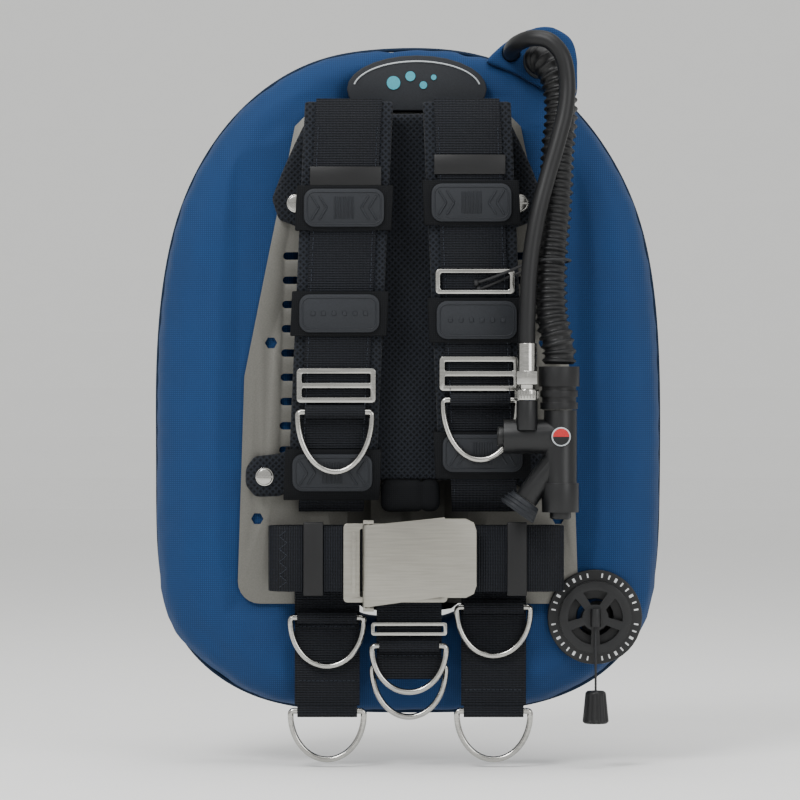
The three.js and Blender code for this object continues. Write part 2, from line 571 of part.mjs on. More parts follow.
sliderShape.holes.push(roundedBox(CROTCH_X, SLIDER_Z, WEB_WIDTH + 3, 5, 1));
piece('crotch_slider', sheet(sliderShape, crotchDepth + WEB_THICK + SEAT, 2, 2), STEEL);

// ---- dump valve ----
const valveFace = plateFront + SEAT;
const VALVE_THICK = 3.5;
const CAP_RADIUS = 28;
const CAP_THICK = 9;
const CORD_RADIUS = 0.9;
const CORD_DROP = 66;
const TOGGLE_HEIGHT = 25;
const GUIDE_RADIUS = 4;
const GUIDE_LENGTH = 14;
const capFace = valveFace + VALVE_THICK + SEAT + CAP_THICK;
const guideDepth = capFace + GUIDE_RADIUS - 0.8;

/** The valve's flange and barrel, open right through. */
function valveBody() {
  const flange = rod(VALVE_RADIUS, VALVE_THICK, 'y', VALVE_X, -valveFace - VALVE_THICK / 2, VALVE_Z, 40);
  const rear = VALVE_POCKET_DEPTH - WING_FRONT - 2;
  const middle = (rear - valveFace - 1) / 2;
  const barrel = rod(VALVE_BARREL, rear + valveFace + 1, 'y', VALVE_X, middle, VALVE_Z, 20);
  const bore = rod(VALVE_BARREL - 3, 120, 'y', VALVE_X, 0, VALVE_Z, 20);
  return cut(join(flange, barrel), bore);
}

/** The cap: a rim with five windows between five spokes, and a hub with the cord's hole. */
function valveCap() {
  const depth = valveFace + VALVE_THICK + SEAT;
  const shape = new THREE.Shape().absarc(VALVE_X, VALVE_Z, CAP_RADIUS, 0, 2 * Math.PI);
  for (let i = 0; i < 5; i += 1) {
    const angle = Math.PI / 2 + 2 * Math.PI * i / 5;
    const window = new THREE.Path();
    window.absarc(VALVE_X, VALVE_Z, 21, angle - 0.46, angle + 0.46);
    window.absarc(VALVE_X, VALVE_Z, 10, angle + 0.32, angle - 0.32, true);
    window.closePath();
    shape.holes.push(window);
  }
  const face = sheet(shape, depth + CAP_THICK - 3, 3, 6);
  const skirtShape = new THREE.Shape().absarc(VALVE_X, VALVE_Z, CAP_RADIUS, 0, 2 * Math.PI);
  skirtShape.holes.push(new THREE.Path().absarc(VALVE_X, VALVE_Z, CAP_RADIUS - 3, 0, 2 * Math.PI));
  const guide = rod(GUIDE_RADIUS, GUIDE_LENGTH, 'z', VALVE_X, -guideDepth, VALVE_Z, 12);
  const bore = rod(CORD_RADIUS + 0.4, GUIDE_LENGTH + 10, 'z', VALVE_X, -guideDepth, VALVE_Z, 10);
  return cut(join(face, sheet(skirtShape, depth, CAP_THICK - 2, 12), guide), bore);
}
piece('dump_valve_body', valveBody(), PLASTIC);
piece('dump_valve_cap', valveCap(), PLASTIC);
const poppetDepth = valveFace - 12;
const poppetStem = rod(2.5, 14, 'y', VALVE_X, -poppetDepth - 6, VALVE_Z, 12);
const poppetDisc = rod(VALVE_BARREL - 3.35, 3, 'y', VALVE_X, -poppetDepth + 1, VALVE_Z, 20);
piece('dump_poppet', join(poppetDisc, poppetStem), RUBBER);

const cordEnd = VALVE_Z - CORD_DROP;
const cordRoute = [VALVE_Z + 5, VALVE_Z - 2, VALVE_Z - 10, VALVE_Z - 25, VALVE_Z - 40, cordEnd + 10 + SEAT]
  .map((z) => [VALVE_X, -guideDepth, z]);
piece('pull_cord', tube(cordRoute, CORD_RADIUS, 8, 14), BLACK_CLOTH);
const toggleZ = cordEnd + 10 - TOGGLE_HEIGHT / 2;
piece('pull_toggle', rod(10.5, TOGGLE_HEIGHT, 'z', VALVE_X, -guideDepth, toggleZ, 14, 8), RUBBER);

// ---- inflator ----
const ELBOW_RADIUS = 14;
const hoseRoute = [[ELBOW[0], -33, ELBOW[1]], [ELBOW[0], -40, ELBOW[1]], [106, -50, 227], [111, -57, 219],
  [115, -61, 207], [116.5, -64, 192], [116, -67, 175], [114, -70, 158], [112, -77, 118], [108, -84, 72],
  [108, -89, 35], [112, -92.5, 14], [114, -93, 4], [114, -93, -6]];
const lpRoute = [[LP_EXIT[0], 60, 20], [LP_EXIT[0], 60, 60], [LP_EXIT[0], 60, 110], [LP_EXIT[0], 60, 170],
  [LP_EXIT[0], 58, 205], [LP_EXIT[0], 48, 228], [LP_EXIT[0], 32, LP_EXIT[1]], [LP_EXIT[0], 10, LP_EXIT[1]],
  [LP_EXIT[0], -20, LP_EXIT[1]], [80, -42, 236.5], [84, -62, 239], [94, -76, 241.5], [107, -82, 239],
  [117, -84.5, 227], [120.5, -85.5, 208], [119, -88, 186], [113, -91, 162], [106, -93.5, 138],
  [99, -97, 112], [94, -99, 86], [91, -100.5, 60], [90, -101.7, 36], [89.5, -102, 22], [89.5, -102, 10]];
const elbowFoot = rod(ELBOW_RADIUS, 4, 'y', ELBOW[0], -HOOD_FRONT - SEAT - 2, ELBOW[1], 20);
const elbowNeck = rod(8.5, 14.4, 'y', ELBOW[0], -HOOD_FRONT - SEAT - 9.2, ELBOW[1], 16);
piece('hose_elbow', join(elbowFoot, elbowNeck), RUBBER);
piece('corrugated_hose', tube(hoseRoute, HOSE_RADIUS, 10, 32), RUBBER);
piece('lp_hose', tube(lpRoute, LP_RADIUS, 8, 48), RUBBER);

const hoseEnd = hoseRoute.at(-1);
const cuffX = hoseEnd[0];
const cuffDepth = -hoseEnd[1];
const cuffTop = hoseEnd[2] - SEAT;
const cuff = rod(15.4, 15, 'z', cuffX, -cuffDepth, cuffTop - 9, 20);
const cuffNeck = rod(13, 18, 'z', cuffX, -cuffDepth, cuffTop - 25, 20);
const cuffTies = [22, 31].map((drop) => rod(14.2, 5, 'z', cuffX, -cuffDepth, cuffTop - drop, 20));
piece('hose_cuff', join(cuff, cuffNeck, ...cuffTies), RUBBER);

const lpEnd = lpRoute.at(-1);
const [LP_X, lpY] = lpEnd;

const BODY_TOP = cuffTop - 34 - SEAT;
const BODY_LENGTH = 77;
const BODY_RADIUS = 12.5;
const FOOT_RADIUS = 14;
const FOOT_LENGTH = 22;
const ARM_LENGTH = 43;
const BUTTON_RADIUS = 8;
const WELL_DEPTH = 8;
const BADGE_RADIUS = 7.2;
const ARM_RADIUS = 13;
const MOUTH_TURN = 0.62;
const MOUTH_LENGTH = 36;
const bodyX = cuffX + 1;
const armZ = BODY_TOP - 20;
const armEnd = bodyX - ARM_LENGTH;

/** A tapered piece on the slanted line from the body to the mouth, between two distances along it. */
function mouthTube(nearRadius, farRadius, near, far) {
  const geometry = new THREE.CylinderGeometry(nearRadius, farRadius, far - near, 18);
  geometry.translate(0, -(near + far) / 2, 0).rotateX(Math.PI / 2).rotateY(MOUTH_TURN);
  return geometry.translate(bodyX - 5, -cuffDepth, armZ - 18);
}

/** The inflator's body with its button arm, mouthpiece arm and hose nipple. */
function inflatorBody() {
  const straight = BODY_LENGTH - FOOT_LENGTH;
  const barrel = rod(BODY_RADIUS, straight, 'z', bodyX, -cuffDepth, BODY_TOP - straight / 2, 24);
  const footZ = BODY_TOP - BODY_LENGTH + FOOT_LENGTH / 2;
  const foot = rod(FOOT_RADIUS, FOOT_LENGTH, 'z', bodyX, -cuffDepth, footZ, 24);
  const arm = rod(ARM_RADIUS, ARM_LENGTH, 'x', bodyX - ARM_LENGTH / 2, -cuffDepth, armZ, 20);
  const mouth = mouthTube(9, 9, 0, MOUTH_LENGTH);
  const nipple = rod(8, 22, 'z', LP_X, -cuffDepth - 9, armZ + 16, 16);
  return cut(join(barrel, foot, arm, mouth, nipple), ...buttonWells());
}

/** The blind wells that the two buttons slide in. */
function buttonWells() {
  const radius = BUTTON_RADIUS + BORE_CLEAR;
  return [rod(radius, 2 * WELL_DEPTH, 'x', armEnd, -cuffDepth, armZ, 18),
    rod(radius, 2 * WELL_DEPTH, 'z', bodyX, -cuffDepth, BODY_TOP - BODY_LENGTH, 18)];
}
piece('inflator_body', inflatorBody(), PLASTIC);
piece('inflate_button', rod(BUTTON_RADIUS, 7, 'x', armEnd - 0.8, -cuffDepth, armZ, 18), PLASTIC);
const exhaustZ = BODY_TOP - BODY_LENGTH - 0.4;
piece('exhaust_button', rod(BUTTON_RADIUS, 9, 'z', bodyX, -cuffDepth, exhaustZ, 18), PLASTIC);
piece('mouthpiece', mouthTube(12, 15, MOUTH_LENGTH + SEAT, MOUTH_LENGTH + 12), RUBBER);
piece('badge', rod(BADGE_RADIUS, 2, 'y', bodyX, -cuffDepth - ARM_RADIUS - 1 - SEAT, armZ, 16), RUBBER);

const COUPLER_RADIUS = 6;
const NUT_RADIUS = 9;
const ferrule = rod(7.4, 22, 'z', LP_X, lpY, lpEnd[2] - SEAT - 11, 16);
const hexNut = rod(NUT_RADIUS, 10, 'z', LP_X, lpY, lpEnd[2] - SEAT - 26, 6);
const coupler = rod(COUPLER_RADIUS, 12, 'z', LP_X, lpY, lpEnd[2] - SEAT - 36, 16);
piece('lp_ferrule', join(ferrule, hexNut, coupler), STEEL);
const sleeveTop = lpEnd[2] - SEAT - 31 - SEAT - 3.5;
const couplerSleeve = rod(NUT_RADIUS, 8, 'z', LP_X, lpY, sleeveTop - 4, 20);
const couplerBore = rod(COUPLER_RADIUS + BORE_CLEAR, 30, 'z', LP_X, lpY, sleeveTop, 16);
piece('lp_coupler_sleeve', cut(couplerSleeve, couplerBore), STEEL);
const [startX, startY, startZ] = lpRoute[0];
const endNut = rod(NUT_RADIUS, 12, 'z', startX, startY, startZ - SEAT - 6, 6);
piece('lp_hose_end', join(endNut, rod(5.5, 12, 'z', startX, startY, startZ - SEAT - 16, 16)), STEEL);

// ---- bungee and its ring on the right strap ----
const SQUARE_RING_Z = 57;
const squareX = strapX(1, SQUARE_RING_Z);
const ringShape = roundedBox(squareX, SQUARE_RING_Z, WEB_WIDTH + 10, 19, 3);
ringShape.holes.push(roundedBox(squareX, SQUARE_RING_Z, WEB_WIDTH + 3, 13, 2));
const squareRises = [9, -9].map((rise) => -strapPoint(shareAt(SQUARE_RING_Z + rise), webOuter)[0]);
const squareDepth = Math.max(...squareRises) + SEAT + 0.3;
piece('square_ring', sheet(ringShape, squareDepth, 3.2, 2), STEEL);

export default model;
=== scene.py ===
"""A wing-type diving buoyancy compensator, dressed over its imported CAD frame."""
import json
import logging
import math
from dataclasses import dataclass, field
from enum import Enum
from typing import Callable, Iterable, Sequence

import bmesh
import bpy
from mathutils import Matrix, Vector, noise
from mathutils.bvhtree import BVHTree


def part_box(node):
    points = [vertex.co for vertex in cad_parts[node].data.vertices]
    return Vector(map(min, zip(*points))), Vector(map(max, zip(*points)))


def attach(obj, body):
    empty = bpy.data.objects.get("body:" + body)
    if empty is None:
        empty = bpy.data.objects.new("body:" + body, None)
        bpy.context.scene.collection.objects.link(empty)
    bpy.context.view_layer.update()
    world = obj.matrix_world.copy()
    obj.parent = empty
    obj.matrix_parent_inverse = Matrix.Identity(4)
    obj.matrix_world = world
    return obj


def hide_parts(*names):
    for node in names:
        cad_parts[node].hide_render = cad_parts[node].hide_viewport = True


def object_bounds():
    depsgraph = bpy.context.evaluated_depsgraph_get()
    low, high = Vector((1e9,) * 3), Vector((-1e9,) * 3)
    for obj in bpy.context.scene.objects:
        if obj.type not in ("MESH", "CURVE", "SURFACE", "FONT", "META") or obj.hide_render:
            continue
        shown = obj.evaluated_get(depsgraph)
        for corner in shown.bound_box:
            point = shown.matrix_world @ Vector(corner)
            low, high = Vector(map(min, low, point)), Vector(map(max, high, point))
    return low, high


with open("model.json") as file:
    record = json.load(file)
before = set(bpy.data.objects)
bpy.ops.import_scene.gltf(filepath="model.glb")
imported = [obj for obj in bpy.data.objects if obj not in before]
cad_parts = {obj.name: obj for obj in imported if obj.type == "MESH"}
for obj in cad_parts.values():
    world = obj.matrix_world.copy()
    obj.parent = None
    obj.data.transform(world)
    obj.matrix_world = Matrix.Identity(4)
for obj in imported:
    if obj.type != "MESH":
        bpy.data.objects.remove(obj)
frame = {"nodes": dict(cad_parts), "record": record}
CAD_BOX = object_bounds()
LOG = logging.getLogger("buoyancy_compensator")
logging.basicConfig(level=logging.INFO, format="%(message)s")

MM = 0.001
ROOT = "harness_and_wing"
NODE_BODY = {node: body for body, nodes in frame["record"]["behaviour"]["bodies"].items() for node in nodes}
WAVE_TURN = 2 * math.pi / 20        # a wave texture of scale 1 repeats every 2 pi / 20
SIMULATED_FRAMES = 18
SEAM_REACH = 0.0225                 # from the middle of a tape to its side seam, in metres
STITCH_SHARE = 0.36                 # half a stitch, as a share of the distance from stitch to stitch
THREAD_HALF = 0.00035               # half a thread's width and how high it stands, in metres
THREAD_SINK = 0.0004                # how deep a thread's sides sink into the cloth, in metres
CURVE_STEPS = 24                    # fine steps between two points of a route
AXES = (Vector((1, 0, 0)), Vector((0, 1, 0)), Vector((0, 0, 1)))
SURFACES: dict[str, BVHTree] = {}   # surfaces of CAD nodes, made as they are asked for


class Slot(str, Enum):
    """The record's material slots."""

    NYLON = "blue_nylon"
    MESH = "black_mesh"
    WEBBING = "webbing"
    RUBBER = "rubber"
    CORD = "cord"
    PLASTIC = "plastic"
    POLISHED = "polished_steel"
    BLASTED = "blasted_steel"


class Grain(Enum):
    """Which way a webbing's ribs are counted."""

    ALONG_Z = "Z"
    ALONG_X = "X"


def linear(code: str) -> tuple[float, float, float, float]:
    """Turns an sRGB hex colour into a linear one.

    Args:
        code: Six hex digits.

    Returns:
        Red, green, blue and alpha.
    """
    values = [int(code[i:i + 2], 16) / 255 for i in (0, 2, 4)]
    return (*[v / 12.92 if v <= 0.04045 else ((v + 0.055) / 1.055) ** 2.4 for v in values], 1.0)


def add_node(tree: bpy.types.NodeTree, kind: str, settings: dict | None = None,
             links: dict | None = None) -> bpy.types.Node:
    """Adds one node with its settings and its links.

    Args:
        tree: The material's node tree.
        kind: The node's type name.
        settings: Attribute names, or input names and numbers, with their values.
        links: Input names or numbers with the output sockets that feed them.

    Returns:
        The new node.
    """
    node = tree.nodes.new(kind)
    for key, value in (settings or {}).items():
        if isinstance(key, str) and hasattr(node, key):
            setattr(node, key, value)
        else:
            node.inputs[key].default_value = value
    for key, socket in (links or {}).items():
        tree.links.new(socket, node.inputs[key])
    return node


def ramp(tree: bpy.types.NodeTree, factor: bpy.types.NodeSocket, low: str, high: str,
         start: float = 0.0, end: float = 1.0) -> bpy.types.NodeSocket:
    """Adds a two-colour ramp.

    Args:
        tree: The material's node tree.
        factor: The value that drives it.
        low: Hex colour at the start.
        high: Hex colour at the end.
        start: Place of the first colour.
        end: Place of the second colour.

    Returns:
        The colour output.
    """
    node = add_node(tree, "ShaderNodeValToRGB", links={0: factor})
    first, last = node.color_ramp.elements
    first.position, first.color = start, linear(low)
    last.position, last.color = end, linear(high)
    return node.outputs["Color"]


@dataclass(frozen=True)
class Finish:
    """What every finish shares: a name, a slot and how it answers to light."""

    name: str
    slot: Slot
    low: str
    high: str
    roughness: float
    metallic: float = 0.0
    ior: float = 1.5
    sheen: float = 0.0
    bump: float = 0.3
    depth_mm: float = 0.3

    def pattern(self, tree: bpy.types.NodeTree, place: bpy.types.NodeSocket) -> tuple:
        """Returns the colour factor and the height of the surface."""
        grain = add_node(tree, "ShaderNodeTexNoise", {"Scale": 900.0, "Detail": 3.0}, {"Vector": place})
        return grain.outputs["Fac"], grain.outputs["Fac"]

    def build(self) -> bpy.types.Material:
        """Makes the material, or returns it when it has been made.

        Returns:
            The node-based material.
        """
        known = bpy.data.materials.get(self.name)
        if known:
            return known
        material = bpy.data.materials.new(self.name)
        material.use_nodes = True
        tree = material.node_tree
        shader = tree.nodes["Principled BSDF"]
        place = add_node(tree, "ShaderNodeTexCoord").outputs["Object"]
        factor, height = self.pattern(tree, place)
        stain = add_node(tree, "ShaderNodeTexNoise", {"Scale": 22.0, "Detail": 4.0}, {"Vector": place})
        mixed = add_node(tree, "ShaderNodeMath", {"operation": "MULTIPLY_ADD", 1: 0.7}, {0: factor})
        soft = add_node(tree, "ShaderNodeMath", {"operation": "MULTIPLY", 1: 0.3}, {0: stain.outputs["Fac"]})
        tree.links.new(soft.outputs[0], mixed.inputs[2])
        tree.links.new(ramp(tree, mixed.outputs[0], self.low, self.high, 0.15, 0.85),
                       shader.inputs["Base Color"])
        gloss = {"To Min": self.roughness - 0.06, "To Max": self.roughness + 0.08}
        rough = add_node(tree, "ShaderNodeMapRange", gloss, {0: stain.outputs["Fac"]})
        tree.links.new(rough.outputs[0], shader.inputs["Roughness"])
        relief = add_node(tree, "ShaderNodeBump", {"Strength": self.bump, "Distance": self.depth_mm * MM},
                          {"Height": height})
        tree.links.new(relief.outputs[0], shader.inputs["Normal"])
        shader.inputs["Metallic"].default_value = self.metallic
        if not self.metallic:
            shader.inputs["IOR"].default_value = self.ior
        shader.inputs["Sheen Weight"].default_value = self.sheen
        return material


def band(tree: bpy.types.NodeTree, place: bpy.types.NodeSocket, axis: str, pitch_mm: float,
         distortion: float = 0.0) -> bpy.types.NodeSocket:
    """Adds a wave of straight bands with a real pitch.

    Args:
        tree: The material's node tree.
        place: Coordinates in metres.
        axis: The direction across the bands.
        pitch_mm: Distance from band to band.
        distortion: How uneven the bands are.

    Returns:
        The wave's factor.
    """
    settings = {"wave_type": "BANDS", "bands_direction": axis, "Scale": WAVE_TURN / (pitch_mm * MM),
                "Distortion": distortion, "Detail": 1.0}
    return add_node(tree, "ShaderNodeTexWave", settings, {"Vector": place}).outputs["Fac"]


@dataclass(frozen=True)
class Woven(Finish):
    """Plain-woven cloth: two sets of threads that cross, seen as a fine grid."""

    pitch_mm: float = 1.6
    across: tuple[str, str] = ("X", "Z")

    def pattern(self, tree: bpy.types.NodeTree, place: bpy.types.NodeSocket) -> tuple:
        """Makes the pattern of the cloth.

        Args:
            tree: The material's node tree.
            place: Coordinates in metres.

        Returns:
            The colour factor and the height.
        """
        warp, weft = (band(tree, place, axis, self.pitch_mm, 0.4) for axis in self.across)
        grid = add_node(tree, "ShaderNodeMath", {"operation": "MULTIPLY"}, {0: warp, 1: weft})
        return grid.outputs[0], grid.outputs[0]


@dataclass(frozen=True)
class Ribbed(Finish):
    """Webbing: heavy weft ribs across the tape and fine warp threads along it."""

    grain: Grain = Grain.ALONG_Z
    rib_mm: float = 1.9
    thread_mm: float = 2.6

    def pattern(self, tree: bpy.types.NodeTree, place: bpy.types.NodeSocket) -> tuple:
        """Makes the pattern of the webbing.

        Args:
            tree: The material's node tree.
            place: Coordinates in metres.

        Returns:
            The colour factor and the height.
        """
        other = "X" if self.grain is Grain.ALONG_Z else "Z"
        ribs = band(tree, place, self.grain.value, self.rib_mm, 0.25)
        threads = band(tree, place, other, self.thread_mm, 0.5)
        both = add_node(tree, "ShaderNodeMath", {"operation": "MULTIPLY_ADD", 1: 0.35}, {0: threads, 2: ribs})
        half = add_node(tree, "ShaderNodeMath", {"operation": "MULTIPLY", 1: 0.74}, {0: both.outputs[0]})
        return half.outputs[0], both.outputs[0]


@dataclass(frozen=True)
class SpacerMesh(Finish):
    """Knitted spacer mesh: rows of small open cells, seen as diamonds."""

    cell_mm: float = 3.4

    def pattern(self, tree: bpy.types.NodeTree, place: bpy.types.NodeSocket) -> tuple:
        """Makes the pattern of the knit.

        Args:
            tree: The material's node tree.
            place: Coordinates in metres.

        Returns:
            The colour factor and the height.
        """
        slant = {"Rotation": (0, math.radians(45), 0)}
        turned = add_node(tree, "ShaderNodeMapping", slant, {"Vector": place})
        one = band(tree, turned.outputs[0], "X", self.cell_mm)
        two = band(tree, turned.outputs[0], "Z", self.cell_mm)
        cell = add_node(tree, "ShaderNodeMath", {"operation": "MAXIMUM"}, {0: one, 1: two})
        return cell.outputs[0], cell.outputs[0]


@dataclass(frozen=True)
class Brushed(Finish):
    """Steel with a fine directional scratch from polishing or drawing."""

    stretch: tuple[float, float, float] = (40.0, 400.0, 900.0)

    def pattern(self, tree: bpy.types.NodeTree, place: bpy.types.NodeSocket) -> tuple:
        """Makes the pattern of the scratches.

        Args:
            tree: The material's node tree.
            place: Coordinates in metres.

        Returns:
            The colour factor and the height.
        """
        drawn = add_node(tree, "ShaderNodeMapping", {"Scale": self.stretch}, {"Vector": place})
        scratch = add_node(tree, "ShaderNodeTexNoise", {"Scale": 1.0, "Detail": 6.0},
                           {"Vector": drawn.outputs[0]})
        return scratch.outputs["Fac"], scratch.outputs["Fac"]


# 420-denier nylon, woven and coated: a soft matt blue with a fine grid, drawn coarse enough to show
BLUE_NYLON = Woven("coated_nylon_420_blue", Slot.NYLON, "0d2c52", "153f6d", 0.8, ior=1.3, sheen=0.03,
                   bump=0.4)
# woven nylon tape, finer than the shell and nearly navy: it draws the wing's edge as a dark line
NAVY_PIPING = Woven("woven_piping_navy", Slot.NYLON, "091a2e", "102a45", 0.75, ior=1.3, pitch_mm=1.2)
# coated nylon, woven: a matt black that gives back very little light
BLACK_NYLON = Woven("coated_nylon_black", Slot.MESH, "08090b", "131519", 0.8, ior=1.25)
# knitted polyester spacer fabric: open cells that catch the light on their walls
SPACER = SpacerMesh("knitted_spacer_mesh_black", Slot.MESH, "030405", "1d2026", 0.85, ior=1.25, sheen=0.05,
                    bump=0.8, depth_mm=0.8)
# nylon webbing: near-black navy ribs with a dull shine on their crowns
WEB_UPRIGHT = Ribbed("nylon_webbing_upright", Slot.WEBBING, "030406", "171a21", 0.68, ior=1.28, bump=0.9,
                     depth_mm=0.6)
WEB_LEVEL = Ribbed("nylon_webbing_level", Slot.WEBBING, "030406", "171a21", 0.68, ior=1.28, bump=0.9,
                   depth_mm=0.6, grain=Grain.ALONG_X)
# bonded nylon thread: lighter than the tape, so that a seam shows as a row of points
STITCH = Finish("bonded_nylon_thread", Slot.WEBBING, "20242c", "3a3f49", 0.55)
# moulded rubber: slightly grey, matt, with a fine mould grain
MOULDED_RUBBER = Finish("moulded_rubber_grey_black", Slot.RUBBER, "15171b", "24272c", 0.58, ior=1.35,
                        bump=0.25)
# extruded rubber: smoother and blacker than the moulded parts, with a soft highlight along a hose
HOSE_RUBBER = Finish("extruded_hose_rubber", Slot.RUBBER, "060607", "111214", 0.45, ior=1.4, bump=0.15)
# braided polyester: a fine crossed pattern on a thin dark cord
BRAID = Woven("braided_polyester_cord", Slot.CORD, "08080a", "24262a", 0.7, pitch_mm=0.9)
# glass-filled nylon plastic: black with a faint moulded grain
BODY_PLASTIC = Finish("moulded_nylon_plastic_black", Slot.PLASTIC, "08090a", "141517", 0.4, ior=1.42,
                      bump=0.2, depth_mm=0.15)
# printed inks and the badge's enamel: flat colours, a little glossier than what they lie on
TICK_WHITE = Finish("printed_white_ink", Slot.PLASTIC, "c9cbcc", "e6e7e8", 0.5)
BADGE_RED = Finish("enamelled_badge_red", Slot.PLASTIC, "8d1517", "c3262a", 0.3)
BADGE_SILVER = Finish("printed_silver_ink", Slot.RUBBER, "8f9599", "c4c9cc", 0.4)
BADGE_TEAL = Finish("printed_teal_ink", Slot.RUBBER, "2c8496", "3fa0b1", 0.45)
# matt paper: no highlight, so that the shadow is all that shows on it
FLOOR = Finish("matt_studio_paper", Slot.NYLON, "f1f1ef", "f8f8f7", 0.9, bump=0.02)
# 316 stainless steel: polished wire and plate, bead-blasted plate, and a satin brushed buckle
POLISHED = Brushed("polished_stainless_steel", Slot.POLISHED, "8f8e8a", "c8c7c2", 0.17, 1.0, bump=0.05,
                   depth_mm=0.05)
BLASTED = Finish("bead_blasted_stainless_steel", Slot.BLASTED, "5e5d59", "72716c", 0.5, 0.85, bump=0.25,
                 depth_mm=0.08)
BUCKLE_SATIN = Brushed("satin_stainless_steel", Slot.BLASTED, "8b8981", "aaa79e", 0.36, 1.0, bump=0.1,
                       depth_mm=0.05)


# ---- mesh tools ----
def only(obj: bpy.types.Object) -> None:
    """Makes one object the only selected and active one.

    Args:
        obj: The object to work on.
    """
    bpy.ops.object.select_all(action="DESELECT")
    obj.select_set(True)
    bpy.context.view_layer.objects.active = obj


def edit(obj: bpy.types.Object, work: Callable[[], None]) -> None:
    """Runs operators in edit mode with everything selected.

    Args:
        obj: The mesh object.
        work: The operators to run.
    """
    only(obj)
    bpy.ops.object.mode_set(mode="EDIT")
    bpy.ops.mesh.select_all(action="SELECT")
    work()
    bpy.ops.object.mode_set(mode="OBJECT")


def modify(obj: bpy.types.Object, kind: str, **settings: object) -> None:
    """Adds a modifier and applies it at once.

    Args:
        obj: The mesh object.
        kind: The modifier's type.
        settings: Its attributes.
    """
    only(obj)
    modifier = obj.modifiers.new(kind.title(), kind)
    for key, value in settings.items():
        setattr(modifier, key, value)
    bpy.ops.object.modifier_apply(modifier=modifier.name)


def bevel(obj: bpy.types.Object, edge_mm: float, segments: int, angle: float = 60.0) -> None:
    """Rounds the edges that turn by more than an angle.

    Args:
        obj: The mesh object.
        edge_mm: Radius of the rounded edges.
        segments: Steps round each edge.
        angle: Edges that turn by less stay as they are, in degrees.
    """
    modify(obj, "BEVEL", width=edge_mm * MM, segments=segments, limit_method="ANGLE",
           angle_limit=math.radians(angle))


def linked(name: str, data: bpy.types.ID) -> bpy.types.Object:
    """Makes an object from its data and links it to the scene.

    Args:
        name: The object's name.
        data: Its mesh, lamp or camera.

    Returns:
        The new object.
    """
    obj = bpy.data.objects.new(name, data)
    bpy.context.scene.collection.objects.link(obj)
    return obj


def unit_cube(size_mm: Sequence[float], centre: Sequence[float] = (0, 0, 0)) -> bpy.types.Object:
    """Adds a cube primitive and gives it its three sizes.

    Args:
        size_mm: Its sizes along X, Y and Z.
        centre: Its centre in metres.

    Returns:
        The new object.
    """
    bpy.ops.object.select_all(action="DESELECT")
    bpy.ops.mesh.primitive_cube_add(size=1.0, location=centre)
    obj = bpy.context.object
    obj.scale = [s * MM for s in size_mm]
    settle(obj)
    return obj


def circle(centre: Vector, one: Vector, other: Vector, radius: float, count: int) -> list[Vector]:
    """Gives evenly spaced places on a circle.

    Args:
        centre: Its centre.
        one: The direction of the first place.
        other: The direction a quarter turn on.
        radius: Its radius in metres.
        count: How many places.

    Returns:
        The places in order.
    """
    turns = [2 * math.pi * k / count for k in range(count)]
    return [centre + (one * math.cos(a) + other * math.sin(a)) * radius for a in turns]


def length_of(places: Sequence[Vector]) -> float:
    """Gives the length of a line through places, in metres."""
    return sum((q - p).length for p, q in zip(places, places[1:]))


def settle(obj: bpy.types.Object) -> None:
    """Applies an object's place, so that its place is in its mesh.

    Args:
        obj: The new object.
    """
    only(obj)
    bpy.ops.object.transform_apply(location=True, rotation=True, scale=True)


def dress(obj: bpy.types.Object, name: str, body: str, finish: Finish, replaced: Sequence[str] = (),
          angle: float = 40.0) -> bpy.types.Object:
    """Names a finished piece, gives it its finish and hangs it on its body.

    Args:
        obj: The finished mesh.
        name: The piece's name.
        body: The body that it rides on.
        finish: The finish that covers it.
        replaced: CAD nodes that it stands for.
        angle: Edges sharper than this stay sharp, in degrees.

    Returns:
        The piece.
    """
    obj.name = name
    only(obj)
    bpy.ops.object.shade_smooth_by_angle(angle=math.radians(angle))
    obj.data.materials.clear()
    obj.data.materials.append(finish.build())
    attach(obj, body)
    if replaced:
        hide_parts(*replaced)
    LOG.info("piece %s: %d faces on %s", name, len(obj.data.polygons), body)
    return obj


def copied(node: str, whole: bool = True) -> bpy.types.Object:
    """Copies a CAD node as one merged mesh of its own.

    Args:
        node: The CAD node's name.
        whole: Whether flat faces are made whole again.

    Returns:
        The copy, at the origin.
    """
    obj = linked(node + "_copy", frame["nodes"][node].data.copy())
    only(obj)
    if obj.data.has_custom_normals:
        bpy.ops.mesh.customdata_custom_splitnormals_clear()

    def clean() -> None:
        """Merges the loose triangles and turns them outwards."""
        bpy.ops.mesh.remove_doubles(threshold=0.00002)
        bpy.ops.mesh.normals_make_consistent(inside=False)
        if whole:
            bpy.ops.mesh.dissolve_limited(angle_limit=math.radians(0.6))
    edit(obj, clean)
    return obj


def softened(node: str, finish: Finish, edge_mm: float, segments: int = 3) -> bpy.types.Object:
    """Makes a piece from a CAD node by rounding its edges.

    Args:
        node: The CAD node that it stands for.
        finish: Its finish.
        edge_mm: Radius of the rounded edges.
        segments: Steps round each edge.

    Returns:
        The piece.
    """
    obj = copied(node)
    bevel(obj, edge_mm, segments, 32)
    return dress(obj, node + "_finished", NODE_BODY[node], finish, [node])


def mesh_object(name: str, points: Sequence[Sequence[float]],
                faces: Sequence[Sequence[int]]) -> bpy.types.Object:
    """Makes an object from points and faces, with its faces turned outwards.

    Args:
        name: The object's name.
        points: Corner places in metres.
        faces: Corner numbers of each face.

    Returns:
        The new object.
    """
    mesh = bpy.data.meshes.new(name)
    mesh.from_pydata([tuple(p) for p in points], [], [tuple(f) for f in faces])
    obj = linked(name, mesh)
    edit(obj, lambda: bpy.ops.mesh.normals_make_consistent(inside=False))
    return obj


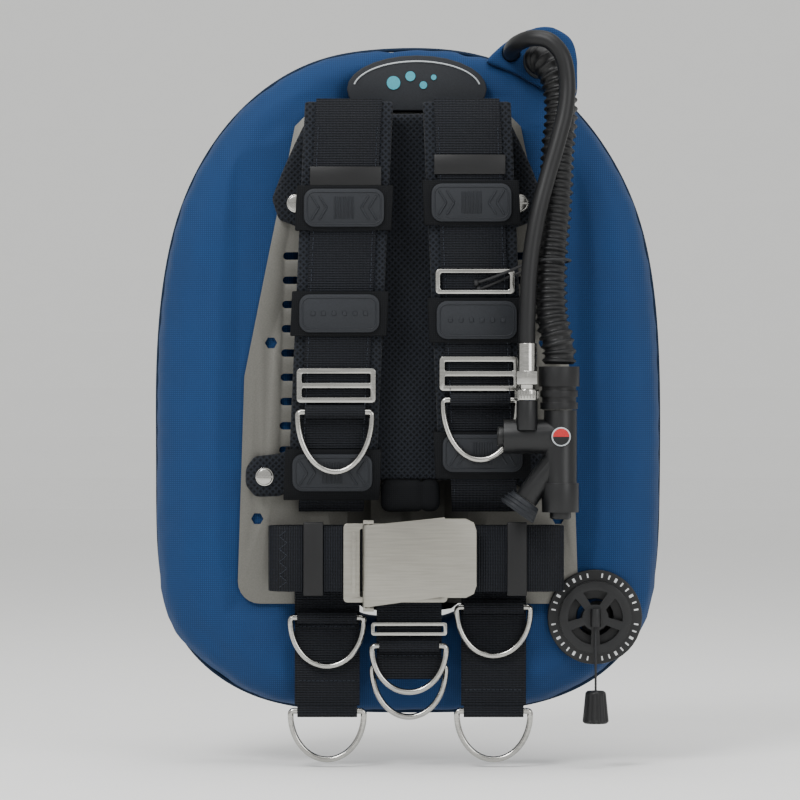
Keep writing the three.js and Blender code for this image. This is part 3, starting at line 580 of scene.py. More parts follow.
def smooth_route(points: Sequence[Sequence[float]], step: float, closed: bool = False) -> list[Vector]:
    """Runs a smooth curve through a route and returns evenly spaced places along it.

    Args:
        points: The route's points in metres.
        step: Distance from place to place, in metres.
        closed: Whether the route closes on itself.

    Returns:
        Places along the curve.
    """
    knots = [Vector(p) for p in points]
    count = len(knots)
    fine: list[Vector] = []
    for i in range(count if closed else count - 1):
        if closed:
            a, b, c, d = (knots[(i + k - 1) % count] for k in range(4))
        else:
            b, c = knots[i], knots[i + 1]
            a = knots[i - 1] if i else b * 2 - c
            d = knots[i + 2] if i + 2 < count else c * 2 - b
        for k in range(CURVE_STEPS):
            t = k / CURVE_STEPS
            fine.append(0.5 * (2 * b + (c - a) * t + (2 * a - 5 * b + 4 * c - d) * t ** 2
                               + (3 * b - a - 3 * c + d) * t ** 3))
    fine.append(fine[0] if closed else knots[-1])
    total = length_of(fine)
    steps = max(2, round(total / step))
    places, walked, target = [fine[0]], 0.0, total / steps
    for p, q in zip(fine, fine[1:]):
        length = (q - p).length
        while length > 0 and walked + length >= target - 1e-9 and len(places) <= steps:
            places.append(p.lerp(q, (target - walked) / length))
            target += total / steps
        walked += length
    if closed:
        return places[:steps]
    return [*places[:steps], knots[-1]]


def sweep(name: str, places: Sequence[Vector], radius: Callable[[int], float], sides: int = 20,
          closed: bool = False) -> bpy.types.Object:
    """Sweeps a round section along a route.

    Args:
        name: The object's name.
        places: Places along the route.
        radius: Gives the radius at each place.
        sides: Corners of the section.
        closed: Whether the route closes on itself.

    Returns:
        The tube, closed at its ends.
    """
    count = len(places)
    points: list[Vector] = []
    up = Vector((0.31, 0.0, 0.95))
    for i, place in enumerate(places):
        before = places[i - 1] if i or closed else place
        after = places[(i + 1) % count] if i + 1 < count or closed else place
        along = (after - before).normalized()
        side = along.cross(up)
        side = side.normalized() if side.length > 0.05 else along.orthogonal().normalized()
        up = side.cross(along).normalized()
        for k in range(sides):
            angle = 2 * math.pi * k / sides
            points.append(place + (side * math.cos(angle) + up * math.sin(angle)) * radius(i))
    faces = [[i * sides + k, i * sides + (k + 1) % sides, (i + 1) % count * sides + (k + 1) % sides,
              (i + 1) % count * sides + k]
             for i in range(count if closed else count - 1) for k in range(sides)]
    if not closed:
        faces += [list(range(sides))[::-1], list(range((count - 1) * sides, count * sides))]
    return mesh_object(name, points, faces)


def round_bar(radius_mm: float, length_mm: float, place: Vector, axis: str,
              sides: int = 32) -> bpy.types.Object:
    """Adds a cylinder primitive along one axis.

    Args:
        radius_mm: Its radius.
        length_mm: Its length.
        place: Its centre in metres.
        axis: The axis that it lies along.
        sides: Corners of its section.

    Returns:
        The new object.
    """
    turn = {"X": (0, math.pi / 2, 0), "Y": (math.pi / 2, 0, 0), "Z": (0, 0, 0)}[axis]
    bpy.ops.object.select_all(action="DESELECT")
    bpy.ops.mesh.primitive_cylinder_add(vertices=sides, radius=radius_mm * MM, depth=length_mm * MM,
                                        location=place, rotation=turn)
    obj = bpy.context.object
    settle(obj)
    return obj


def slab(centre: Vector, size_mm: Sequence[float], edge_mm: float, segments: int = 3) -> bpy.types.Object:
    """Adds a cube primitive as a slab with rounded edges.

    Args:
        centre: Its centre in metres.
        size_mm: Its sizes along X, Y and Z.
        edge_mm: Radius of its edges.
        segments: Steps round each edge.

    Returns:
        The new object.
    """
    obj = unit_cube(size_mm, centre)
    modify(obj, "BEVEL", width=edge_mm * MM, segments=segments, limit_method="NONE")
    return obj


def rounded_plate(size_mm: Sequence[float], corner_mm: float, edge_mm: float) -> bpy.types.Object:
    """Adds a plate at the origin with round corners, facing -Y.

    Args:
        size_mm: Its sizes along X, Y and Z.
        corner_mm: Radius of its corners.
        edge_mm: Radius of its edges.

    Returns:
        The new object.
    """
    obj = unit_cube(size_mm)
    form = bmesh.new()
    form.from_mesh(obj.data)
    upright = [e for e in form.edges if abs((e.verts[0].co - e.verts[1].co).normalized().y) > 0.9]
    bmesh.ops.bevel(form, geom=upright, offset=corner_mm * MM, offset_type="OFFSET", segments=6,
                    profile=0.5, affect="EDGES")
    form.to_mesh(obj.data)
    form.free()
    bevel(obj, edge_mm, 2)
    return obj


def merged(objects: Iterable[bpy.types.Object]) -> bpy.types.Object:
    """Joins objects into one object.

    Args:
        objects: The objects to join.

    Returns:
        The first, holding them all.
    """
    parts = list(objects)
    bpy.ops.object.select_all(action="DESELECT")
    for part in parts:
        part.select_set(True)
    bpy.context.view_layer.objects.active = parts[0]
    bpy.ops.object.join()
    return parts[0]


def move_points(obj: bpy.types.Object, shift: Callable[[Vector, Vector], float]) -> None:
    """Moves each point of a mesh along its normal.

    Args:
        obj: The mesh object.
        shift: Gives the distance in metres from the place and the normal.
    """
    normals = [v.normal.copy() for v in obj.data.vertices]
    for vertex, normal in zip(obj.data.vertices, normals):
        vertex.co += normal * shift(vertex.co, normal)
    obj.data.update()


def inflate(obj: bpy.types.Object, pressure: float, spare: float, cap_mm: float) -> None:
    """Swells a closed fabric form by a short cloth simulation with some spare cloth, which wrinkles it.

    Args:
        obj: The remeshed form.
        pressure: Air pressure inside.
        spare: Share by which the cloth is larger than the form.
        cap_mm: The farthest that a point may move.
    """
    before = [v.co.copy() for v in obj.data.vertices]
    only(obj)
    cloth = obj.modifiers.new("Cloth", "CLOTH")
    cloth.settings.use_pressure = True
    cloth.settings.uniform_pressure_force = pressure
    cloth.settings.shrink_min = -spare
    cloth.settings.bending_stiffness = 0.08
    cloth.settings.effector_weights.gravity = 0.0
    cloth.point_cache.frame_start, cloth.point_cache.frame_end = 1, SIMULATED_FRAMES
    for step in range(1, SIMULATED_FRAMES + 1):
        bpy.context.scene.frame_set(step)
    bpy.ops.object.modifier_apply(modifier=cloth.name)
    bpy.context.scene.frame_set(1)
    farthest = 0.0
    for vertex, start in zip(obj.data.vertices, before):
        move = vertex.co - start
        farthest = max(farthest, move.length)
        if move.length > cap_mm * MM:
            vertex.co = start + move.normalized() * cap_mm * MM
    obj.data.update()
    LOG.info("cloth %s: farthest move %.1f mm", obj.name, farthest / MM)


# ---- sub-assemblies ----
@dataclass
class Wing:
    """The inflated donut, its piping, its centre panel, the hose hood and the crest patch."""

    voxel_mm: float = 5.5
    wrinkle_mm: float = 2.3
    pleat_mm: float = 0.7
    piping_mm: float = 1.6
    pressure: float = 3.0
    spare_cloth: float = 0.06
    farthest_mm: float = 7.0            # the farthest that the simulation may move a point
    seam_places: int = 90
    hood_edge_mm: float = 5.0
    hood_voxel_mm: float = 2.2
    rim_rise_mm: tuple[float, float] = (26.2, 21.5)     # the crest rim's middle below the top, and its height
    bubbles_mm: tuple[tuple[float, float, float], ...] = (      # aside, share of the height, radius
        (-18, 0.5, 5.2), (-5, 0.62, 3.8), (5, 0.46, 2.9), (13, 0.6, 2.1))

    def seam(self, shell: bpy.types.Object) -> list[Vector]:
        """Finds the outer seam, as the farthest point of the finished shell in each direction.

        Args:
            shell: The finished shell.

        Returns:
            Places along the closed seam.
        """
        count = self.seam_places
        best: dict[int, Vector] = {}
        for vertex in shell.data.vertices:
            place = vertex.co
            key = round(math.degrees(math.atan2(place.z, place.x)) / (360 / count)) % count
            if key not in best or math.hypot(place.x, place.z) > math.hypot(best[key].x, best[key].z):
                best[key] = place.copy()
        ring = [best[key] for key in range(count)]
        reach = [math.hypot(p.x, p.z) for p in ring]
        for _ in range(8):
            ring = [(ring[i - 1] + ring[i] * 2 + ring[(i + 1) % count]) / 4 for i in range(count)]
        grow = [least / math.hypot(place.x, place.z) for place, least in zip(ring, reach)]
        for _ in range(6):
            grow = [(grow[i - 1] + grow[i] * 2 + grow[(i + 1) % count]) / 4 for i in range(count)]
        return [Vector((place.x * share, place.y, place.z * share)) for place, share in zip(ring, grow)]

    def wrinkle(self, place: Vector, normal: Vector) -> float:
        """Gives the cloth's ripple at a place: soft creases, and pleats that run in from the seam.

        Args:
            place: The place in metres.
            normal: The surface's direction there.

        Returns:
            The shift along the normal in metres.
        """
        wide = noise.noise(Vector((place.x * 30, place.y * 20, place.z * 8)))
        fine = noise.noise(Vector((place.x * 80, place.y * 60, place.z * 22)) + Vector((7, 3, 1)))
        edge = max(0.0, 1 - abs(normal.y)) ** 1.5
        turn = math.atan2(place.z, place.x)
        pleat = math.sin(turn * 58 + 3.5 * noise.noise(place * 14)) * edge
        calm = 0.3 + 0.7 * abs(normal.y)
        return MM * calm * (self.wrinkle_mm * (wide + 0.4 * fine) + self.pleat_mm * pleat)

    def press(self, shell: bpy.types.Object) -> None:
        """Presses the shell back where the plate lies on it, and keeps its front within reach elsewhere.

        Args:
            shell: The shell.
        """
        low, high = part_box("backplate")
        sunk, slope, reach = 0.0004, 0.4, 0.008
        plate_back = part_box("wing_air_cell")[0].y + sunk
        for vertex in shell.data.vertices:
            place = vertex.co
            aside = max(abs(place.x) - high.x, place.z - high.z, low.z - place.z, 0.0)
            limit = plate_back - min(aside * slope, reach)
            if place.y < limit:
                place.y = limit
        shell.data.update()

    def build(self) -> None:
        """Makes every piece of the wing."""
        cell = copied("wing_air_cell", whole=False)
        modify(cell, "REMESH", mode="VOXEL", voxel_size=self.voxel_mm * MM)
        modify(cell, "SMOOTH", factor=0.5, iterations=4)
        inflate(cell, self.pressure, self.spare_cloth, self.farthest_mm)
        modify(cell, "SMOOTH", factor=0.5, iterations=2)
        modify(cell, "SUBSURF", levels=1, render_levels=1)
        move_points(cell, self.wrinkle)
        self.press(cell)
        dress(cell, "wing_shell", ROOT, BLUE_NYLON, ["wing_air_cell"], 80)
        route = smooth_route(self.seam(cell), 0.004, True)
        piping = sweep("piping", route, lambda i: self.piping_mm * MM, 10, True)
        dress(piping, "wing_piping", ROOT, NAVY_PIPING)
        softened("wing_center_panel", BLACK_NYLON, 0.8)
        self.hood()
        self.crest()

    def hood(self) -> None:
        """Makes the hose hood: a soft fabric form with a slightly uneven surface."""
        hood = copied("hose_hood")
        bevel(hood, self.hood_edge_mm, 3, 50)
        modify(hood, "REMESH", mode="VOXEL", voxel_size=self.hood_voxel_mm * MM)
        modify(hood, "SMOOTH", factor=0.5, iterations=8)
        move_points(hood, lambda place, normal: MM * 0.9 * noise.noise(place * 70))
        dress(hood, "hose_hood_fabric", ROOT, BLUE_NYLON, ["hose_hood"], 80)

    def crest(self) -> None:
        """Makes the oval patch with a raised rim and a plain row of bubbles in place of a mark."""
        low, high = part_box("crest_patch")
        softened("crest_patch", MOULDED_RUBBER, 0.8)
        middle = (low.x + high.x) / 2
        across, face = (high.x - low.x) / 2 - 0.005, low.y - 0.0004
        rise = high.z - low.z
        drop, rise_up = (size * MM for size in self.rim_rise_mm)
        rim = [Vector((middle + across * math.cos(a), face, high.z - drop + rise_up * math.sin(a)))
               for a in (math.radians(10 + d) for d in range(0, 161, 4))]
        dress(sweep("rim", rim, lambda i: 0.6 * MM, 8), "crest_rim", ROOT, BADGE_SILVER)
        bubbles = [round_bar(size, 1.0, Vector((middle + shift * MM, face, low.z + rise * lift)), "Y", 28)
                   for shift, lift, size in self.bubbles_mm]
        dress(merged(bubbles), "crest_bubbles", ROOT, BADGE_TEAL)


@dataclass
class Plate:
    """The bent steel plate with its mesh pad, lumbar pad and four slotted screws."""

    pad_voxel_mm: float = 4.0
    pad_swell_mm: float = 0.8
    crease_mm: tuple[float, float, float] = (1.6, 11.0, 1.8)    # the lumbar pad's seam: depth, place, width
    head_mm: tuple[float, float] = (6.2, 2.6)           # the screw's head: radius and height
    washer_mm: tuple[float, float] = (7.0, 0.8)         # the finishing washer: radius and height
    slot_mm: tuple[float, float, float] = (16.0, 2.2, 1.5)
    shank_mm: float = 2.4

    def build(self) -> None:
        """Makes the plate, the pads and the screws."""
        softened("backplate", BLASTED, 0.5, 2)
        for node in ("back_pad", "lumbar_pad"):
            self.pad(node)
        for i in range(1, 5):
            self.screw(f"pad_screw_{i}")

    def pad(self, node: str) -> None:
        """Makes one soft pad with a crowned face and rounded edges.

        Args:
            node: The CAD node that it stands for.
        """
        pad = copied(node)
        bevel(pad, 2.6, 2, 50)
        modify(pad, "REMESH", mode="VOXEL", voxel_size=self.pad_voxel_mm * MM * 0.6)
        modify(pad, "SMOOTH", factor=0.5, iterations=4)
        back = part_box(node)[1].y
        depth, at, width = self.crease_mm

        def crown(place: Vector, normal: Vector) -> float:
            """Gives the pad's swell at a place, and the seam across the lumbar pad.

            Args:
                place: The place in metres.
                normal: The surface's direction there.

            Returns:
                The shift along the normal in metres.
            """
            lift = self.pad_swell_mm * (0.6 + noise.noise(place * 26)) if place.y < back - 0.004 else 0.0
            crease = 0.0
            if node == "lumbar_pad":
                crease = depth * math.exp(-((place.x - at * MM) / (width * MM)) ** 2)
            return MM * (lift - crease)
        move_points(pad, crown)
        finish = SPACER if node == "back_pad" else BLACK_NYLON
        dress(pad, node + "_padding", ROOT, finish, [node], 80)

    def screw(self, node: str) -> None:
        """Makes one slotted screw with a domed head and a finishing washer.

        Args:
            node: The CAD node that it stands for.
        """
        low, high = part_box(node)
        x, z, face = (low.x + high.x) / 2, (low.z + high.z) / 2, low.y
        head = round_bar(*self.head_mm, Vector((x, face + 0.0014, z)), "Y", 40)
        bevel(head, 1.0, 4)
        slot = slab(Vector((x, face, z)), self.slot_mm, 0.1, 1)
        cut_with(head, slot)
        washer = round_bar(*self.washer_mm, Vector((x, face + 0.0027, z)), "Y", 40)
        bevel(washer, 0.3, 2)
        length = (high.y - face) / MM - 3
        shank = round_bar(self.shank_mm, length, Vector((x, (high.y + face + 0.003) / 2, z)), "Y", 16)
        dress(merged([head, washer, shank]), node + "_steel", NODE_BODY[node], POLISHED, [node], 30)


def cut_with(obj: bpy.types.Object, tool: bpy.types.Object) -> None:
    """Cuts one object with another and removes the cutter.

    Args:
        obj: The object to cut.
        tool: The cutter.
    """
    modify(obj, "BOOLEAN", operation="DIFFERENCE", object=tool, solver="EXACT")
    bpy.data.objects.remove(tool)


def front(node: str, x: float, z: float) -> tuple[Vector, Vector]:
    """Finds the frontmost surface of a CAD node at a place.

    Args:
        node: The CAD node.
        x: Place along X in metres.
        z: Place along Z in metres.

    Returns:
        The place on the surface and its normal.
    """
    mesh = frame["nodes"][node].data
    if node not in SURFACES:
        SURFACES[node] = BVHTree.FromPolygons([v.co for v in mesh.vertices],
                                              [p.vertices for p in mesh.polygons])
    place, normal, _, _ = SURFACES[node].ray_cast(Vector((x, -1.0, z)), Vector((0, 1, 0)))
    return (place, normal) if place else (Vector((x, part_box(node)[0].y, z)), Vector((0, -1, 0)))


def stitches(starts: Sequence[Sequence[Vector]], pitch_mm: float = 3.4) -> bpy.types.Object:
    """Makes rows of sewn stitches that lie on cloth.

    Args:
        starts: For each row, its two ends.
        pitch_mm: Distance from stitch to stitch.

    Returns:
        All the stitches as one object.
    """
    points: list[Vector] = []
    faces: list[list[int]] = []
    for a, b in starts:
        along = (b - a).normalized()
        out = Vector((0, -1, 0))
        side = along.cross(out).normalized()
        for i in range(max(1, int((b - a).length / (pitch_mm * MM)))):
            middle = a + along * (i + 0.5) * pitch_mm * MM
            first = len(points)
            for end in (-1, 1):
                tip = middle + along * end * STITCH_SHARE * pitch_mm * MM
                points += [tip + side * THREAD_HALF - out * THREAD_SINK, tip + out * THREAD_HALF,
                           tip - side * THREAD_HALF - out * THREAD_SINK]
            faces += [[first, first + 1, first + 2], [first + 5, first + 4, first + 3],
                      [first, first + 3, first + 4, first + 1], [first + 1, first + 4, first + 5, first + 2],
                      [first + 2, first + 5, first + 3, first]]
    return mesh_object("stitches", points, faces)


def on_front(node: str, x: float, z: float, lift_mm: float = 0.25) -> Vector:
    """Gives a place just in front of a CAD node.

    Args:
        node: The CAD node.
        x: Place along X in metres.
        z: Place along Z in metres.
        lift_mm: How far in front.

    Returns:
        The place.
    """
    return front(node, x, z)[0] + Vector((0, -lift_mm * MM, 0))


class RingNames(Enum):
    """The D-rings, by the CAD node of each."""

    SHOULDER_LEFT = "shoulder_ring_left"
    SHOULDER_RIGHT = "shoulder_ring_right"
    DROP_LEFT_UPPER = "drop_ring_left_upper"
    DROP_LEFT_LOWER = "drop_ring_left_lower"
    DROP_RIGHT_UPPER = "drop_ring_right_upper"
    DROP_RIGHT_LOWER = "drop_ring_right_lower"
    CROTCH_FRONT = "crotch_ring_front"
    CROTCH_REAR = "crotch_ring_rear"


@dataclass
class DRing:
    """A D-ring of round polished wire."""

    ring: RingNames
    corner_mm: float = 2.5
    bar_steps: int = 14
    corner_steps: int = 6
    bow_steps: int = 40

    def build(self) -> None:
        """Makes the ring along the centre line that its CAD box gives."""
        low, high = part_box(self.ring.value)
        wire = (high.y - low.y) / 2
        half, drop = (high.x - low.x) / 2 - wire, high.z - low.z - 2 * wire
        corner, x, y, top = self.corner_mm * MM, (low.x + high.x) / 2, (low.y + high.y) / 2, high.z - wire
        bar = half - corner
        flat = [(-bar + 2 * bar * i / self.bar_steps, 0.0) for i in range(self.bar_steps + 1)]
        for k in range(1, self.corner_steps):
            angle = math.pi / 2 * (1 - k / self.corner_steps)
            flat.append((bar + corner * math.cos(angle), -corner + corner * math.sin(angle)))
        for k in range(self.bow_steps + 1):
            angle = -math.pi * k / self.bow_steps
            flat.append((half * math.cos(angle), -corner + (drop - corner) * math.sin(angle)))
        for k in range(1, self.corner_steps):
            angle = math.pi - math.pi / 2 * k / self.corner_steps
            flat.append((-bar + corner * math.cos(angle), -corner + corner * math.sin(angle)))
        places = [Vector((x + u, y, top + w)) for u, w in flat]
        tube = sweep("ring", places, lambda i: wire, 20, True)
        dress(tube, self.ring.value + "_wire", NODE_BODY[self.ring.value], POLISHED, [self.ring.value], 80)


@dataclass
class ShoulderStrap:
    """One shoulder strap: pad, webbing, three keepers with rubber patches, band and tri-glide."""

    side: str
    band_z_mm: float
    patch_mm: tuple[float, float, float] = (61.0, 2.2, 29.0)
    corner_mm: float = 8.0
    rim_inset_mm: float = 2.5
    chevrons_mm: tuple[float, ...] = (-22.0, -16.0, 16.0, 22.0)
    chevron_bar_mm: tuple[float, float, float] = (1.5, 1.2, 11.0)
    chevron_lift_mm: float = 4.6
    chevron_lean: float = 32.0          # in degrees
    grip_bar_mm: tuple[float, float, float] = (0.9, 1.0, 17.0)
    dot_mm: tuple[float, float, float] = (3.2, 1.0, 3.2)
    band_mm: tuple[float, float, float] = (54.0, 1.4, 15.0)
    band_side_mm: tuple[float, float, float] = (1.4, 5.0, 15.0)
    seam_top: float = 0.175             # where the seams begin, in metres
    seam_step: float = 0.012
    seam_steps: int = 25

    def build(self) -> None:
        """Makes every piece of the strap."""
        pad_node, web_node = f"shoulder_pad_{self.side}", f"shoulder_webbing_{self.side}"
        pad = copied(pad_node)
        bevel(pad, 2.2, 2)
        modify(pad, "SUBSURF", levels=1, render_levels=1, subdivision_type="SIMPLE")
        dress(pad, f"shoulder_padding_{self.side}", ROOT, SPACER, [pad_node], 50)
        softened(web_node, WEB_UPRIGHT, 0.5, 2)
        rows = []
        for share in (-1, 1):
            heights = [self.seam_top - self.seam_step * i for i in range(self.seam_steps)]
            places = [on_front(web_node, self.middle(z) + share * SEAM_REACH, z) for z in heights]
            rows += [pair for pair in zip(places, places[1:]) if (pair[0] - pair[1]).length < 0.02]
        dress(stitches(rows), f"strap_seams_{self.side}", ROOT, STITCH)
        for number in (1, 2, 3):
            self.keeper(f"keeper_{self.side}_{number}", number)
        self.rubber_band(web_node)
        softened(f"triglide_{self.side}", POLISHED, 0.8)

    def middle(self, z: float) -> float:
        """Gives the strap's centre line at a height, from its highest and its lowest keeper.

        Args:
            z: The height in metres.

        Returns:
            The place along X in metres.
        """
        low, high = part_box(f"keeper_{self.side}_1")
        below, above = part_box(f"keeper_{self.side}_3")
        top, foot = (low + high) / 2, (below + above) / 2
        return top.x + (foot.x - top.x) * (z - top.z) / (foot.z - top.z)

    def keeper(self, node: str, place: int) -> None:
        """Makes one elastic keeper and the moulded patch on its front.

        Args:
            node: The CAD node that it stands for.
            place: Its number from the top.
        """
        softened(node, BLACK_NYLON, 1.0, 2)
        low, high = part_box(node)
        z = (low.z + high.z) / 2 if place < 3 else high.z - (high.z - low.z) * 0.47
        spot, normal = front(node, (low.x + high.x) / 2, z)
        width, thick, height = self.patch_mm
        patch = rounded_plate((width, thick, height), self.corner_mm, 0.7)
        marks, dotted, face = [patch], place == 2, -thick * 0.6 * MM
        for shift in () if dotted else self.chevrons_mm:
            for lift in (-1, 1):
                rise = lift * self.chevron_lift_mm * MM
                bar = slab(Vector((shift * MM, face, rise)), self.chevron_bar_mm, 0.4, 1)
                only(bar)
                lean = math.radians(self.chevron_lean) * lift * (1 if shift < 0 else -1)
                bpy.ops.transform.rotate(value=lean, orient_axis="Y", center_override=(shift * MM, 0, rise))
                settle(bar)
                marks.append(bar)
        for shift in range(-20, 21, 8) if dotted else range(-7, 8, 2):
            size = self.dot_mm if dotted else self.grip_bar_mm
            marks.append(slab(Vector((shift * MM, face, 0)), size, 0.3, 1))
        marks.append(self.patch_rim())
        whole = merged(marks)
        tilt = math.atan2(normal.z, -normal.y)
        whole.rotation_euler = (-tilt, 0, 0)
        whole.location = spot + normal * (thick / 2 + 0.3) * MM
        settle(whole)
        dress(whole, node + "_patch", ROOT, MOULDED_RUBBER)

    def patch_rim(self, count: int = 40) -> bpy.types.Object:
        """Makes the raised line that runs round a patch, inside its edge.

        Args:
            count: Places along the line.

        Returns:
            The line, at the origin.
        """
        width, thick, height = self.patch_mm
        inset, rim = self.corner_mm - self.rim_inset_mm, []
        side, top = width / 2 - self.corner_mm, height / 2 - self.corner_mm
        for k in range(count):
            angle = 2 * math.pi * (k + 0.5) / count
            across, up = math.cos(angle), math.sin(angle)
            rim.append(Vector((math.copysign(side, across) + inset * across, -thick * 0.52,
                               math.copysign(top, up) + inset * up)) * MM)
        return sweep("rim", rim, lambda i: 0.5 * MM, 8, True)

    def rubber_band(self, web_node: str) -> None:
        """Makes the wide rubber band round the webbing.

        Args:
            web_node: The webbing that it wraps.
        """
        z = self.band_z_mm * MM
        spot, _ = front(web_node, self.middle(z), z)
        face = slab(spot + Vector((0, -0.0009, 0)), self.band_mm, 0.5, 2)
        sides = [slab(spot + Vector((s * 0.0265, 0.0012, 0)), self.band_side_mm, 0.5, 2) for s in (-1, 1)]
        whole = merged([face, *sides])
        above, below = (front(web_node, spot.x, z + step)[0].y for step in (0.006, -0.006))
        tilt = math.atan2(above - below, 0.012)
        only(whole)
        bpy.ops.transform.rotate(value=tilt, orient_axis="X", center_override=spot)
        settle(whole)
        dress(whole, f"strap_band_{self.side}", ROOT, HOSE_RUBBER)


@dataclass
class Harness:
    """The waist belt, its cam buckle, the drop straps, the crotch strap and their fittings."""

    seam_x_mm: float = -95.0
    zigzag: int = 9                     # legs of the belt's zigzag
    zigzag_half: float = 0.003          # half its width, and its distance from the belt's edges, in metres
    drop_rows_mm: dict[str, tuple[float, ...]] = field(default_factory=lambda: {
        "drop_strap_left": (-207.0, -249.0), "drop_strap_right": (-256.0,), "crotch_strap": (-229.0,)})

    def build(self) -> None:
        """Makes every piece below the shoulder straps."""
        for node in ("waist_belt_left", "waist_belt_right"):
            softened(node, WEB_LEVEL, 0.5, 2)
        for node in ("belt_keeper_left", "belt_keeper_right"):
            softened(node, HOSE_RUBBER, 0.8)
        for node in ("crotch_slider", "square_ring"):
            softened(node, POLISHED, 0.7)
        for node in ("buckle_base", "buckle_lever"):
            softened(node, BUCKLE_SATIN, 0.6)
        self.belt_seam()
        for node, heights in self.drop_rows_mm.items():
            softened(node, WEB_UPRIGHT, 0.5, 2)
            low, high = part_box(node)
            middle = (low.x + high.x) / 2
            rows = [[on_front(node, middle + end * SEAM_REACH, z * MM) for end in (-1, 1)] for z in heights]
            dress(stitches(rows), node + "_stitches", ROOT, STITCH)
        for ring in RingNames:
            DRing(ring).build()

    def belt_seam(self) -> None:
        """Sews a zigzag across the folded end of the belt."""
        low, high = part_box("waist_belt_left")
        half = self.zigzag_half
        step = (high.z - low.z - 2 * half) / self.zigzag
        corners = [on_front("waist_belt_left", self.seam_x_mm * MM + (half if i % 2 else -half),
                            low.z + half + i * step) for i in range(self.zigzag + 1)]
        dress(stitches(list(zip(corners, corners[1:])), 2.6), "belt_zigzag", ROOT, STITCH)


@dataclass
class Bungee:
    """The thin elastic that holds the inflator hose to the right shoulder strap."""

    radius_mm: float = 1.1
    route_mm: tuple[tuple[float, float, float], ...] = (
        (52, -70, 56), (60, -72, 58.5), (70, -75, 62), (82, -81, 67), (90, -86.5, 70), (94.5, -92, 71.5),
        (101, -97, 72.5), (109, -99.3, 73), (118, -95, 73), (122.6, -85, 72.5), (118.5, -74.5, 71.5),
        (109, -69.4, 70), (98, -71, 67.5), (86, -71.5, 64), (74, -71, 59.5), (64, -69.9, 55), (54, -69.4, 51))

    def build(self) -> None:
        route = [Vector(p) * MM for p in self.route_mm]
        places = smooth_route(route, 0.0015)
        cord = dress(sweep("bungee", places, lambda i: self.radius_mm * MM, 12), "hose_bungee", ROOT, BRAID)
        knots = [round_bar(2.6, 3.4, route[end], "X", 20) for end in (0, -1)]
        for knot in knots:
            bevel(knot, 1.2, 3)
        dress(merged(knots), "bungee_knots", ROOT, BRAID)


